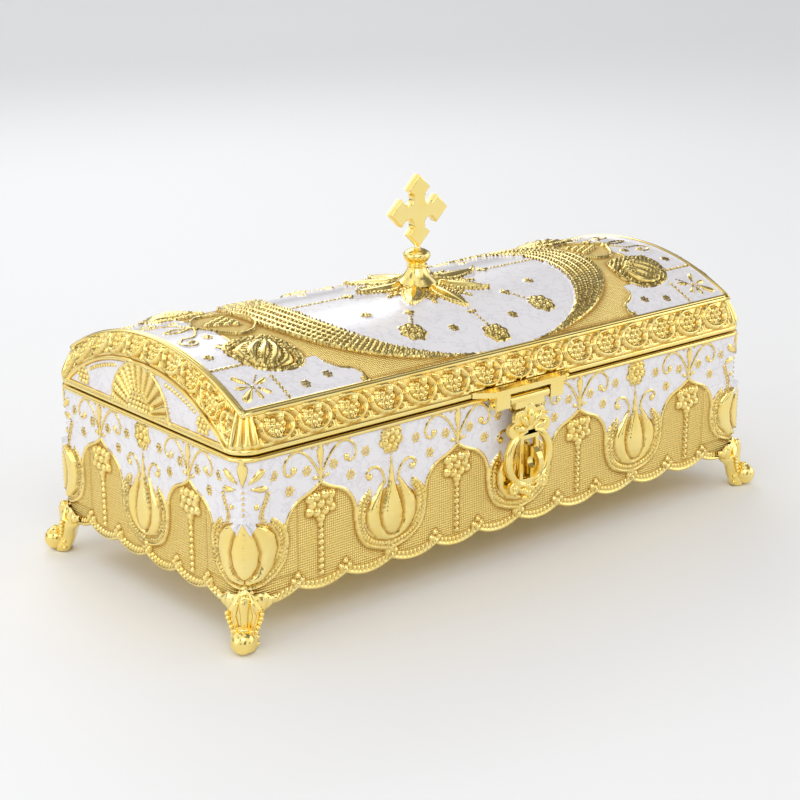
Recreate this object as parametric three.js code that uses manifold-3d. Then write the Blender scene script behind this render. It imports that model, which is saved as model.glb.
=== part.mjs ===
// A gilt and white enamelled reliquary casket: a scalloped box on four cast feet, a hinged
// vaulted lid with a cross finial, and a hasp that closes over a staple.
// Millimetres, +Z up, +X along the length, the front faces -Y. Heights are above the ground.
import * as THREE from 'three';
import { mergeVertices } from 'three/addons/utils/BufferGeometryUtils.js';
import Module from 'manifold-3d';

const wasm = await Module();
wasm.setup();

// ---- Driving dimensions ---------------------------------------------------------------

const clearance = 0.35; // left between two pieces that touch
const sink = 0.8; // how far relief is rooted in the surface that carries it

const wall = {
  halfLength: 122.4,
  halfWidth: 57,
  cornerRadius: 7.4,
  thickness: 2.6,
  floorUnder: 17.6,
  floorTop: 20.2,
  rim: 65.6, // where the box ends and the lid begins
  cusp: 15.7, // lower edge where two scallops meet
  lobe: 2.5, // how much lower a scallop hangs
  scallops: [12, 6], // along a long side and along an end
};
const rimBead = { stand: 0.8, height: 2.2 };

const lidSize = {
  halfLength: 123.2,
  halfWidth: 57.6,
  cornerRadius: 8.1,
  lip: 2,
  thickness: 2.4,
  ridgeHalfWidth: 52.5,
  ridgeHeight: 12.5, // above the rim
  crownHeight: 27,
  crestHalfLength: 118,
  endHalfLength: 122.4,
  archHalfWidth: 51,
  archFoot: 1.3,
  archPeak: 19.4,
  archPower: 2.4,
};

const foot = {
  legOuter: 3.1, // measured out from the wall along the corner's diagonal
  bulbOut: 7,
  bulbRadius: 4.2,
  legTopHalf: 6.2,
  legFootHalf: 4.2,
  wingReach: 11.5,
  wingTop: 19.9,
};

const finial = { base: 92.2, neck: 98.8, ball: 103.4, collar: 106.6 };
const crossSize = { span: 27.6, height: 27.2, thickness: 3.6, diamond: 10.6, notch: 2 };

const clasp = {
  pinY: -60.5,
  pinZ: 62.9,
  pinRadius: 1,
  boreRadius: 1.15,
  barrelRadius: 2,
  barrelHalf: 9.5,
  knuckleInner: 9.9,
  knuckleOuter: 16.4,
  knuckleFront: -62.4,
  shelfHalf: 24,
};
const hasp = {
  back: -60.5,
  front: -62.5,
  slotHalf: 2.95,
  slotTop: 47.4,
  slotBottom: 32.4,
  ringHalf: 11.4,
  ringCentre: 41.4,
  bottom: 23,
};
const staple = { halfThickness: 1.15, top: 45.4, bottom: 33.2, nose: -68.8, eyeRadius: 2.2, eyeY: -64.7 };

const hinge = { x: 76.5, axisY: 61.2, axisZ: 65.6, knuckleRadius: 2.6, pinRadius: 1, half: 9, leaf: 1.2, drop: 13.5 };

// The group is shifted so that its origin is midway between the staple's nose and the rear toes.
const rearReach = wall.halfWidth - wall.cornerRadius * (1 - Math.SQRT1_2)
  + foot.bulbOut * Math.SQRT1_2 + foot.bulbRadius;
const depthShift = (-staple.nose - rearReach) / 2;

// ---- Solids ----------------------------------------------------------------------------

// A closed three.js geometry as a manifold.
function toManifold(geometry) {
  const bare = geometry.clone();
  bare.deleteAttribute('normal');
  bare.deleteAttribute('uv');
  const merged = mergeVertices(bare, 1e-4);
  return new wasm.Manifold(new wasm.Mesh({
    numProp: 3,
    vertProperties: new Float32Array(merged.attributes.position.array),
    triVerts: new Uint32Array(merged.index.array),
  }));
}

function fromManifold(solid) {
  const mesh = solid.getMesh();
  const geometry = new THREE.BufferGeometry();
  const positions = new Float32Array(mesh.numVert * 3);
  for (let vertex = 0; vertex < mesh.numVert; vertex += 1) {
    for (let axis = 0; axis < 3; axis += 1) {
      positions[vertex * 3 + axis] = mesh.vertProperties[vertex * mesh.numProp + axis];
    }
  }
  geometry.setAttribute('position', new THREE.BufferAttribute(positions, 3));
  geometry.setIndex(new THREE.BufferAttribute(new Uint32Array(mesh.triVerts), 1));
  return welded(geometry, 0.012);
}

// Joins corners closer than reach and leaves out the triangles that this closes up.
function welded(geometry, reach) {
  const merged = mergeVertices(geometry, reach);
  const corners = merged.index.array;
  const kept = [];
  for (let first = 0; first < corners.length; first += 3) {
    const [a, b, c] = corners.slice(first, first + 3);
    if (a !== b && b !== c && c !== a) {
      kept.push(a, b, c);
    }
  }
  merged.setIndex(kept);
  return merged;
}

function join(solids) {
  return solids.reduce((whole, solid) => whole.add(solid));
}

// Closed rings joined in order and closed at both ends by fans about their middles. Rings may
// differ in length: each ring's points are spread evenly by marks from 0 to 1 that run round it.
function lofted(rings, marks) {
  const evenly = (ring) => ring.map((_, item) => item / ring.length);
  const places = marks ?? rings.map(evenly);
  const points = rings.flat();
  const starts = rings.map((_, row) => rings.slice(0, row).reduce((sum, ring) => sum + ring.length, 0));
  const index = [];
  for (let row = 0; row + 1 < rings.length; row += 1) {
    const [low, high] = [rings[row], rings[row + 1]];
    const [lowMarks, highMarks] = [[...places[row], 1], [...places[row + 1], 1]];
    let [a, b] = [0, 0];
    while (a < low.length || b < high.length) {
      const lowPoint = starts[row] + a % low.length;
      const highPoint = starts[row + 1] + b % high.length;
      const stepLow = b === high.length || (a < low.length && lowMarks[a + 1] <= highMarks[b + 1]);
      if (stepLow) {
        a += 1;
        index.push(lowPoint, starts[row] + a % low.length, highPoint);
      } else {
        b += 1;
        index.push(lowPoint, starts[row + 1] + b % high.length, highPoint);
      }
    }
  }
  const middle = (ring) => ring.reduce((sum, point) => sum.add(point), new THREE.Vector3())
    .divideScalar(ring.length);
  const final = rings.length - 1;
  rings[0].forEach((_, item) => {
    index.push((item + 1) % rings[0].length, item, points.length);
  });
  rings[final].forEach((_, item) => {
    index.push(starts[final] + item, starts[final] + (item + 1) % rings[final].length, points.length + 1);
  });
  const geometry = new THREE.BufferGeometry().setFromPoints([...points, middle(rings[0]), middle(rings[final])]);
  geometry.setIndex(index);
  return geometry;
}

// Moves every point (u, v, h) of a relief form to its place on a surface.
function carried(geometry, surface) {
  const position = geometry.attributes.position;
  for (let item = 0; item < position.count; item += 1) {
    const place = surface(position.getX(item), position.getY(item), position.getZ(item));
    position.setXYZ(item, place.x, place.y, place.z);
  }
  return toManifold(geometry);
}

// ---- Relief forms, in (u, v, h): across, up, out of the surface -------------------------

function dome(u, v, radius, height, sides = 6) {
  const form = new THREE.SphereGeometry(1, sides, 4);
  form.rotateX(Math.PI / 2);
  form.scale(radius, radius, height);
  form.translate(u, v, 0);
  return form;
}

// A closed form over a grid: form(t, across) gives [u, v, h] of its top for t from 0 to 1 along
// it and across from -1 to 1 over it. Its edge and its underside are sunk below the surface.
function sheet(rows, columns, form) {
  const rings = [];
  for (let row = 0; row <= rows; row += 1) {
    const top = [];
    for (let column = 0; column <= columns; column += 1) {
      const [u, v, h] = form(row / rows, 2 * column / columns - 1);
      const atEdge = row === 0 || row === rows || column === 0 || column === columns;
      top.push(new THREE.Vector3(u, v, atEdge ? -0.25 : h));
    }
    const under = top.map((point) => new THREE.Vector3(point.x, point.y, -sink)).reverse();
    rings.push([...top, ...under]);
  }
  return lofted(rings);
}

// A leaf, petal or drop with a raised spine: half(t) is its half width and spine(t) its
// sideways place.
function leaf({ from, to, half, spine = () => 0, height, rows = 4, columns = 2 }) {
  return sheet(rows, columns, (t, across) => {
    const width = Math.max(half(t), 0.12);
    const swell = height * (1 - across * across) * Math.min(1, 4 * half(t) / height);
    return [spine(t) + width * across, from + (to - from) * t, swell + 0.1];
  });
}

// A raised wire or bead row: a three-sided ridge along a line of [u, v] points.
function ridge(line, width, height) {
  const rings = line.map(([u, v], place) => {
    const before = line[Math.max(place - 1, 0)];
    const after = line[Math.min(place + 1, line.length - 1)];
    const along = new THREE.Vector2(after[0] - before[0], after[1] - before[1]).normalize();
    const side = new THREE.Vector2(along.y, -along.x).multiplyScalar(width / 2);
    return [
      new THREE.Vector3(u - side.x, v - side.y, -sink),
      new THREE.Vector3(u, v, height),
      new THREE.Vector3(u + side.x, v + side.y, -sink),
    ];
  });
  return lofted(rings);
}

function sampled(curve, segments) {
  return Array.from({ length: segments + 1 }, (_, step) => curve(step / segments));
}

// ---- The box -----------------------------------------------------------------------------

// Walks the outline of a rounded rectangle by length, from the middle of the front left
// corner, anticlockwise from above.
function outlineWalk(halfLength, halfWidth, radius) {
  const quarter = radius * Math.PI / 4;
  const straights = [2 * (halfLength - radius), 2 * (halfWidth - radius)];
  const sides = [0, 1, 2, 3].map((side) => straights[side % 2] + 2 * quarter);
  const total = sides.reduce((sum, length) => sum + length);
  function at(distance) {
    let rest = ((distance % total) + total) % total;
    let side = 0;
    while (rest > sides[side]) {
      rest -= sides[side];
      side += 1;
    }
    const straight = straights[side % 2];
    const depth = side % 2 ? halfLength : halfWidth;
    let along = rest - sides[side] / 2;
    let turn = 0;
    const over = Math.abs(along) - straight / 2;
    let out = depth;
    if (over > 0) {
      turn = Math.sign(along) * over / radius;
      along = Math.sign(along) * (straight / 2 + radius * Math.sin(Math.abs(turn)));
      out = depth - radius * (1 - Math.cos(turn));
    }
    const facing = -Math.PI / 2 + side * Math.PI / 2;
    const normal = new THREE.Vector2(Math.cos(facing + turn), Math.sin(facing + turn));
    const x = out * Math.cos(facing) - along * Math.sin(facing);
    const y = out * Math.sin(facing) + along * Math.cos(facing);
    return { x, y, normal };
  }
  return { at, sides, total };
}

const outline = outlineWalk(wall.halfLength, wall.halfWidth, wall.cornerRadius);
const sideStart = [0, 1, 2, 3].map((side) => outline.sides.slice(0, side)
  .reduce((sum, length) => sum + length, 0));

function onWall(distance, height, stand) {
  const { x, y, normal } = outline.at(distance);
  return new THREE.Vector3(x + normal.x * stand, y + normal.y * stand, height);
}

// The surface of one side, u measured from a place given in scallops from its left corner.
function wallFace(side, scallop) {
  const step = outline.sides[side] / wall.scallops[side % 2];
  return (u, v, h) => onWall(sideStart[side] + scallop * step + u, v, h);
}

// How far below the cusps the lower edge hangs at a place along the outline.
function scallopDrop(distance) {
  const side = sideStart.findLastIndex((start) => distance >= start - 1e-6);
  const step = outline.sides[side] / wall.scallops[side % 2];
  const part = ((distance - sideStart[side]) / step) % 1;
  return wall.lobe * (1 - (2 * part - 1) ** 2);
}

function boxShell() {
  const stepsPerScallop = 4;
  const fine = [];
  const coarse = [];
  for (let side = 0; side < 4; side += 1) {
    const steps = wall.scallops[side % 2] * stepsPerScallop;
    for (let step = 0; step < steps; step += 1) {
      fine.push(sideStart[side] + outline.sides[side] * step / steps);
    }
    const quarter = wall.cornerRadius * Math.PI / 4;
    for (const place of [0, quarter / 2, quarter, outline.sides[side] - quarter, outline.sides[side] - quarter / 2]) {
      coarse.push(sideStart[side] + place);
    }
  }
  const rimTop = wall.rim - clearance;
  const rows = [
    { places: coarse, stand: -wall.thickness, height: () => wall.floorUnder },
    { places: fine, stand: -wall.thickness, height: (drop) => wall.cusp - drop + 0.6 },
    { places: fine, stand: rimBead.stand, height: (drop) => wall.cusp - drop },
    { places: coarse, stand: 0, height: () => wall.cusp + 1.6 },
    { places: coarse, stand: 0, height: () => rimTop - rimBead.height },
    { places: coarse, stand: rimBead.stand, height: () => rimTop - 0.7 * rimBead.height },
    { places: coarse, stand: rimBead.stand, height: () => rimTop - 0.2 * rimBead.height },
    { places: coarse, stand: 0.2, height: () => rimTop },
    { places: coarse, stand: -wall.thickness, height: () => rimTop },
    { places: coarse, stand: -wall.thickness, height: () => wall.floorTop },
  ];
  const rings = rows.map(({ places, stand, height }) => places.map((place) => (
    onWall(place, height(scallopDrop(place)), stand))));
  const marks = rows.map(({ places }) => places.map((place) => place / outline.total));
  return toManifold(lofted(rings, marks));
}

// The ogee edge of a gold field, from its apex down round the neighbouring tulip.
function ogeeLine(direction) {
  const curve = new THREE.CatmullRomCurve3([
    new THREE.Vector3(0, wall.rim - 14.4),
    new THREE.Vector3(4, wall.rim - 17.2),
    new THREE.Vector3(10, wall.rim - 19.6),
    new THREE.Vector3(13.6, wall.rim - 23.4),
    new THREE.Vector3(15, wall.rim - 29),
    new THREE.Vector3(15.4, wall.rim - 35),
    new THREE.Vector3(19, wall.rim - 42),
    new THREE.Vector3(29, wall.rim - 46.2),
  ]);
  return sampled((t) => {
    const point = curve.getPoint(t);
    return [point.x * direction, point.y];
  }, 3);
}

// A gold field's ogee edge, with the flower and the string of beads that hang below its apex.
function archMotif(surface) {
  const left = ogeeLine(-1).reverse();
  const forms = [
    ridge([...left.slice(0, -1), ...ogeeLine(1)], 1.2, 0.6),
    dome(0, wall.rim - 22.4, 4.6, 1.2),
    ridge([[0, wall.rim - 25], [0, wall.cusp + 1.5]], 1.7, 0.8),
  ];
  return forms.map((form) => carried(form, surface));
}

// A tulip: three petals side by side, the middle one highest, in a raised border.
function tulipMotif(surface, size) {
  const base = wall.rim - 45.4;
  const widest = 0.52;
  const half = (t) => 14.6 * size * (t < widest
    ? Math.sqrt(1 - (1 - t / widest) ** 2.2)
    : 1 - 0.3 * ((t - widest) / (1 - widest)) ** 2);
  const crest = (across) => 0.7 + 1.7 * Math.cos(across * 1.5 * Math.PI * 0.94) ** 2 * (1 - 0.3 * Math.abs(across));
  const top = (across) => 19.5 + 6 * Math.cos(across * 1.5 * Math.PI * 0.94) ** 2;
  return carried(sheet(4, 4, (turn, up) => {
    const across = 1 - 2 * turn;
    const t = (1 + up) / 2;
    return [
      Math.max(half(t), 1) * across,
      base + top(across) * t,
      Math.max(0.3, crest(across) * Math.sin(Math.PI * (0.12 + 0.7 * t))),
    ];
  }), surface);
}

function boxBody() {
  const solids = [boxShell()];
  for (let side = 0; side < 4; side += 1) {
    const scallops = wall.scallops[side % 2];
    for (let place = 1.5; place < scallops; place += 3) {
      solids.push(...archMotif(wallFace(side, place)));
    }
    for (let place = 3; place < scallops; place += 3) {
      const surface = wallFace(side, place);
      solids.push(tulipMotif(surface, 1));
      solids.push(carried(dome(0, wall.rim - 7.2, 4.7, 1.3), surface));
    }
    solids.push(tulipMotif(wallFace(side, 0), 1.05));
  }
  return fromManifold(join(solids));
}

// ---- The lid -----------------------------------------------------------------------------

const vaultRadius = (lidSize.ridgeHalfWidth ** 2 + (lidSize.crownHeight - lidSize.ridgeHeight) ** 2)
  / (2 * (lidSize.crownHeight - lidSize.ridgeHeight));
const vaultCentre = wall.rim + lidSize.crownHeight - vaultRadius;

// Height of the lid's arched end, and of the crest above it, across the width.
const archHeight = (y) => lidSize.archFoot + (lidSize.archPeak - lidSize.archFoot)
  * (1 - Math.min(1, Math.abs(y) / lidSize.archHalfWidth) ** lidSize.archPower);
const crestHeight = (y) => vaultCentre - wall.rim + Math.sqrt(vaultRadius ** 2 - y ** 2);

// The vaulted top: u along the length, v over the width by arc, h out of the vault.
function onVault(u, v, h) {
  const angle = v / vaultRadius;
  const radius = vaultRadius + h;
  return new THREE.Vector3(u, radius * Math.sin(angle), vaultCentre + radius * Math.cos(angle));
}

// The sloping band below the ridge: u along the side, v up the slope, h outwards.
function onLongBand(direction) {
  const low = new THREE.Vector2(wall.halfWidth, lidSize.lip);
  const slope = new THREE.Vector2(lidSize.ridgeHalfWidth, lidSize.ridgeHeight).sub(low);
  const along = slope.clone().normalize();
  return (u, v, h) => new THREE.Vector3(
    u * direction,
    -direction * (low.x + along.x * v + along.y * h),
    wall.rim + low.y + along.y * v - along.x * h,
  );
}

// The band that rises over an arched end, between the arch and the crest; u is the width.
function onEndBand(direction) {
  return (u, v, h) => {
    const low = new THREE.Vector3(lidSize.endHalfLength, 0, archHeight(u));
    const high = new THREE.Vector3(lidSize.crestHalfLength, 0, crestHeight(u));
    const along = high.clone().sub(low);
    const place = low.add(along.clone().multiplyScalar(v));
    const out = new THREE.Vector3(along.z, 0, -along.x).normalize().multiplyScalar(h);
    return new THREE.Vector3(direction * (place.x + out.x), direction * u, wall.rim + place.z + out.z);
  };
}

// The arched end itself: u across, v above the rim, h outwards.
function onLidEnd(direction) {
  return (u, v, h) => new THREE.Vector3(direction * (lidSize.endHalfLength + h), direction * u, wall.rim + v);
}

// The lid's domed form, drawn in by inset all round to make its hollow.
function lidForm(inset, floor, columns) {
  const { cornerRadius, endHalfLength, crestHalfLength, ridgeHalfWidth, archHalfWidth } = lidSize;
  const stations = [
    { x: crestHalfLength - 3.7, foot: wall.halfWidth, rise: 0 },
    { x: crestHalfLength, foot: wall.halfWidth - 0.11 * cornerRadius, rise: 0 },
    { x: crestHalfLength + 2.7, foot: wall.halfWidth - 0.38 * cornerRadius, rise: 0.6 },
    { x: endHalfLength, foot: archHalfWidth - 1, rise: 1 },
  ];
  const ends = [...stations].reverse().map((station) => ({ ...station, x: -station.x }));
  const rings = [...ends, ...stations].reverse().map(({ x, foot: halfFoot, rise }) => {
    const shoulder = ridgeHalfWidth - rise * (ridgeHalfWidth - archHalfWidth + 3);
    const ring = [new THREE.Vector3(x - Math.sign(x) * inset, -halfFoot + inset, wall.rim + floor)];
    for (let column = 0; column <= columns; column += 1) {
      const y = shoulder * (2 * column / columns - 1);
      const height = (1 - rise) * crestHeight(y) + rise * archHeight(y);
      const draw = 1 - inset / shoulder;
      ring.push(new THREE.Vector3(x - Math.sign(x) * inset, y * draw, wall.rim + height - inset));
    }
    ring.push(new THREE.Vector3(x - Math.sign(x) * inset, halfFoot - inset, wall.rim + floor));
    return ring;
  });
  return toManifold(lofted(rings));
}

function lidRim() {
  const { halfLength, halfWidth, cornerRadius, lip } = lidSize;
  const walk = outlineWalk(halfLength, halfWidth, cornerRadius);
  const quarter = cornerRadius * Math.PI / 4;
  const places = [];
  let start = 0;
  for (const length of walk.sides) {
    for (const place of [0, quarter / 2, quarter, length - quarter, length - quarter / 2]) {
      places.push(start + place);
    }
    start += length;
  }
  const rows = [[-0.4, clearance], [0, clearance + 0.4], [0, lip - 0.4], [-0.5, lip + 0.3]];
  return toManifold(lofted(rows.map(([stand, height]) => places.map((place) => {
    const { x, y, normal } = walk.at(place);
    return new THREE.Vector3(x + normal.x * stand, y + normal.y * stand, wall.rim + height);
  }))));
}

// The crescent of nested ribs at each end of the white oval, its horns meeting at the sides.
function swag(direction) {
  const power = 2.3;
  const half = lidSize.ridgeHalfWidth - 0.8;
  const [inner, outer] = [61, 81];
  const ribs = 4;
  return sheet(8, 2 * ribs, (t, across) => {
    const v = half * Math.sin((t - 0.5) * Math.PI * 0.9);
    const reach = (inner + outer) / 2 - direction * across * (outer - inner) / 2;
    const u = direction * reach * (1 - (Math.abs(v) / (half + 0.6)) ** power) ** (1 / power);
    const crest = 0.9 - 0.5 * Math.cos((across + 1) * ribs * Math.PI);
    return [-u, v, crest];
  });
}

// A ribbed onion-shaped crown, pointing down and out to the corner.
function crown(alongEnd, side) {
  const tilt = Math.atan2(-0.45 * side, -alongEnd);
  return sheet(3, 6, (t, across) => {
    const half = 12.5 * Math.sin(Math.PI * Math.min(1, 0.1 + 0.82 * t)) ** 0.8;
    const along = 13 - 25 * (1 - t);
    const ribs = 0.8 + 1.5 * Math.abs(Math.cos(across * Math.PI * 1.5));
    const height = ribs * Math.sin(Math.PI * (0.12 + 0.76 * t));
    const forward = [Math.cos(tilt), Math.sin(tilt)];
    return [
      alongEnd * 87 - forward[0] * along - forward[1] * half * across,
      side * 28 - forward[1] * along + forward[0] * half * across,
      Math.max(height, 0.3),
    ];
  });
}

function lidTop() {
  const solids = [];
  const onTop = (form) => solids.push(carried(form, onVault));
  for (const end of [-1, 1]) {
    onTop(swag(end));
    for (const side of [-1, 1]) {
      onTop(crown(end, side));
    }
    onTop(dome(end * 90, 0, 11, 1.2, 6));
  }
  const leaves = 8;
  for (let place = 0; place < leaves; place += 1) {
    const petal = leaf({
      from: 9.4, to: 29 - 3 * (place % 2), half: (t) => 4.6 * Math.sin(Math.PI * Math.sqrt(t)) ** 0.9,
      height: 2.6, rows: 3,
    });
    petal.rotateZ(place * 2 * Math.PI / leaves);
    onTop(petal);
  }
  for (const [u, v] of [[0, 45.5], [31.5, 35.5], [-31.5, 35.5]]) {
    onTop(dome(u, v, 5, 0.9));
    onTop(dome(-u, -v, 5, 0.9));
  }
  return solids;
}

// A row of medallions along a band, as one waved strip over a length 2 * reach.
function medallions(count, reach, low, high) {
  return sheet(2 * count, 2, (t, across) => {
    const swell = Math.round(2 * count * t) % 2 ? 1.1 : 0.3;
    return [reach * (2 * t - 1), (low + high) / 2 - across * (high - low) / 2, across === 0 ? swell : 0.15];
  });
}

// The medallion rows, the crest over each end, and the shell and grapes on the arched ends.
function lidBands() {
  const solids = [];
  for (const direction of [-1, 1]) {
    solids.push(carried(medallions(15, lidSize.crestHalfLength - 4.5, 1.2, 10.2), onLongBand(direction)));
    solids.push(carried(medallions(9, 46, 0.14, 0.86), onEndBand(direction)));
    const crest = sampled((t) => [46 * (2 * t - 1), 1], 10);
    solids.push(carried(ridge(crest, 1, 0.8), (u, v, h) => {
      const place = onEndBand(direction)(u, 1, 0);
      return place.add(new THREE.Vector3(direction * (1 - v) * 1.6, 0, h));
    }));
    const shell = sheet(6, 2, (turn, up) => {
      const across = 1 - 2 * turn;
      const angle = across * Math.PI * 0.44;
      const reach = 9.9 + 7.9 * up;
      return [reach * Math.sin(angle), 2 + reach * Math.cos(angle), 0.85 + 0.35 * Math.cos(across * Math.PI * 5)];
    });
    solids.push(carried(shell, onLidEnd(direction)));
    for (const side of [-1, 1]) {
      solids.push(carried(dome(side * 37, 6, 4, 1), onLidEnd(direction)));
    }
  }
  return solids;
}

function lidBody() {
  const hollow = lidForm(lidSize.thickness, -2, 8);
  const shell = lidForm(0, lidSize.lip, 12).add(lidRim()).subtract(hollow);
  return fromManifold(join([shell, ...lidTop(), ...lidBands()]));
}

// ---- The feet ----------------------------------------------------------------------------

function polygon(points) {
  return new THREE.Shape(points.map(([x, y]) => new THREE.Vector2(x, y)));
}

function slab(shape, depth, steps = 1) {
  return new THREE.ExtrudeGeometry(shape, { depth, steps, bevelEnabled: false, curveSegments: 6 });
}

// The front left foot: an S-shaped leg, a round toe and two leafy wings laid on the walls. The
// corner of the wall is its origin.
function footSolid() {
  const corner = outline.at(0);
  const out = new THREE.Vector3(corner.normal.x, corner.normal.y, 0);
  const up = new THREE.Vector3(0, 0, 1);
  const across = out.clone().cross(up);
  const place = (r, t, z) => new THREE.Vector3().addScaledVector(out, r).addScaledVector(across, t)
    .addScaledVector(up, z);

  const underBox = wall.cusp - wall.lobe - clearance;
  const back = rimBead.stand + clearance;
  const { legOuter, legTopHalf, legFootHalf, bulbOut, bulbRadius, wingReach, wingTop } = foot;
  const profile = polygon([
    [-5.6, underBox], [-5.6, 12], [-1.7, 9.2], [-0.7, 4.6], [1.2, 0],
    [bulbOut - 2.4, 0], [bulbOut, 2.4], [bulbOut, 5.6], [legOuter, 9.2], [legOuter, 17], [2.2, 18.8],
    [back, 18.8], [back, underBox],
  ]);
  const front = polygon([
    [-3.2, 0], [3.2, 0], [legFootHalf, 1.6], [legFootHalf, 6], [legTopHalf, 11.6],
    [legTopHalf, 13], [2.4, 19], [-2.4, 19], [-legTopHalf, 13],
    [-legTopHalf, 11.6], [-legFootHalf, 6], [-legFootHalf, 1.6],
  ]);
  const seen = slab(profile, 24);
  seen.translate(0, 0, -12);
  const faced = slab(front, 24);
  faced.translate(0, 0, -12);
  const leg = carried(seen, (r, z, t) => place(r, t, z))
    .intersect(carried(faced, (t, z, r) => place(r, -t, z)));

  const toe = new THREE.LatheGeometry([
    [0, 0], [1.8, 0], [3.4, 1.2], [bulbRadius, bulbRadius], [3.2, 7.2], [1.4, 8.3], [0, 8.5],
  ].map(([radius, height]) => new THREE.Vector2(radius, height)), 7);
  toe.rotateX(Math.PI / 2);
  const bulb = carried(toe, (t, r, z) => place(bulbOut + r, t, z));

  const columns = 6;
  const rings = [];
  for (let column = 0; column <= columns; column += 1) {
    const u = wingReach * (1 - 2 * column / columns);
    const spread = Math.abs(u) / wingReach;
    const low = 11.4 + 3.8 * Math.max(0, (spread - 0.4) / 0.6);
    const high = wingTop - 3.4 * spread ** 0.8;
    const section = [
      [low, 1.7], [(low + high) / 2, 2.6 - 0.6 * spread], [high, 1.7], [high, back + 0.1], [low, back + 0.1],
    ];
    rings.push(section.map(([z, stand]) => onWall(u, z, stand).sub(new THREE.Vector3(corner.x, corner.y, 0))));
  }
  const wings = toManifold(lofted(rings));
  return join([leg, bulb, wings]);
}

// ---- The finial --------------------------------------------------------------------------

function lathe(profile, segments) {
  const form = new THREE.LatheGeometry(profile.map(([radius, z]) => new THREE.Vector2(radius, z)), segments);
  form.rotateX(Math.PI / 2);
  return form;
}

function finialStem() {
  const { base, neck, ball, collar } = finial;
  return lathe([
    [0, base + clearance + 0.4], [7.9, base + clearance + 0.4], [7.9, base + 1.6], [5.8, base + 3.4],
    [4, base + 5.4], [3.4, neck], [3.9, neck + 0.6], [3.5, neck + 1.2], [5, ball - 1], [5.2, ball],
    [4.4, ball + 1.8], [2.2, ball + 2.7], [1.5, collar], [0, collar],
  ], 10);
}

// Four arms that end in squares set on their corners, with round notches between them.
function crossPlate() {
  const { span, height, thickness, diamond, notch } = crossSize;
  const half = diamond / 2;
  const middle = finial.collar + clearance + height / 2;
  const outlinePoints = [];
  for (let arm = 0; arm < 4; arm += 1) {
    const reach = (arm % 2 ? height : span) / 2;
    const turn = arm * Math.PI / 2;
    const quadrant = [[reach, 0], [reach - half, half], [half + 0.1, 2.6]];
    const steps = 4;
    for (let step = 0; step <= steps; step += 1) {
      const angle = -Math.PI * (0.28 + 0.94 * step / steps);
      quadrant.push([4.5 + notch * Math.cos(angle), 4.5 + notch * Math.sin(angle)]);
    }
    quadrant.push([2.6, half + 0.1], [half, (arm % 2 ? span : height) / 2 - half]);
    for (const [x, z] of quadrant) {
      outlinePoints.push([x * Math.cos(turn) - z * Math.sin(turn), x * Math.sin(turn) + z * Math.cos(turn)]);
    }
  }
  const plate = slab(polygon(outlinePoints), thickness);
  plate.translate(0, middle, -thickness / 2);
  plate.rotateX(Math.PI / 2);
  return plate;
}

// ---- The clasp ---------------------------------------------------------------------------

function rod(radius, from, to, y, z, sides = 10) {
  const form = new THREE.CylinderGeometry(radius, radius, to - from, sides);
  form.rotateZ(Math.PI / 2);
  form.translate((from + to) / 2, y, z);
  return form;
}

// A plate drawn in (y, z) and standing from one x to another.
function acrossPlate(points, from, to) {
  const form = slab(polygon(points), to - from);
  form.rotateY(Math.PI / 2);
  form.rotateX(Math.PI / 2);
  form.translate(from, 0, 0);
  return form;
}

// The shelf below the lid's edge, with two knuckles that hold the pin.
function claspBracket() {
  const back = -lidSize.halfWidth - clearance;
  const under = wall.rim + clearance;
  const shelf = slab(polygon([
    [-clasp.shelfHalf, back], [-clasp.knuckleOuter - 1, clasp.knuckleFront],
    [clasp.knuckleOuter + 1, clasp.knuckleFront], [clasp.shelfHalf, back],
  ]), 2);
  shelf.translate(0, 0, under);
  const solids = [toManifold(shelf)];
  for (const side of [-1, 1]) {
    const knuckle = new THREE.BoxGeometry(clasp.knuckleOuter - clasp.knuckleInner, 4.1, 5.6);
    knuckle.translate(
      side * (clasp.knuckleOuter + clasp.knuckleInner) / 2,
      clasp.knuckleFront + 2.05,
      under - 2.3,
    );
    solids.push(toManifold(knuckle));
  }
  return join(solids).subtract(toManifold(rod(clasp.boreRadius, -20, 20, clasp.pinY, clasp.pinZ)));
}

function claspPin() {
  return rod(clasp.pinRadius, -clasp.knuckleOuter + 0.8, clasp.knuckleOuter - 0.8, clasp.pinY, clasp.pinZ);
}

// A flat band of changing half width along a line of [x, z] points.
function band(line, halfWidth) {
  const edges = [[], []];
  line.forEach(([x, z], place) => {
    const before = line[Math.max(place - 1, 0)];
    const after = line[Math.min(place + 1, line.length - 1)];
    const length = Math.hypot(after[0] - before[0], after[1] - before[1]);
    const half = halfWidth(place / (line.length - 1));
    const side = [(after[1] - before[1]) / length * half, -(after[0] - before[0]) / length * half];
    edges[0].push([x + side[0], z + side[1]]);
    edges[1].unshift([x - side[0], z - side[1]]);
  });
  return polygon([...edges[0], ...edges[1]]);
}

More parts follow.
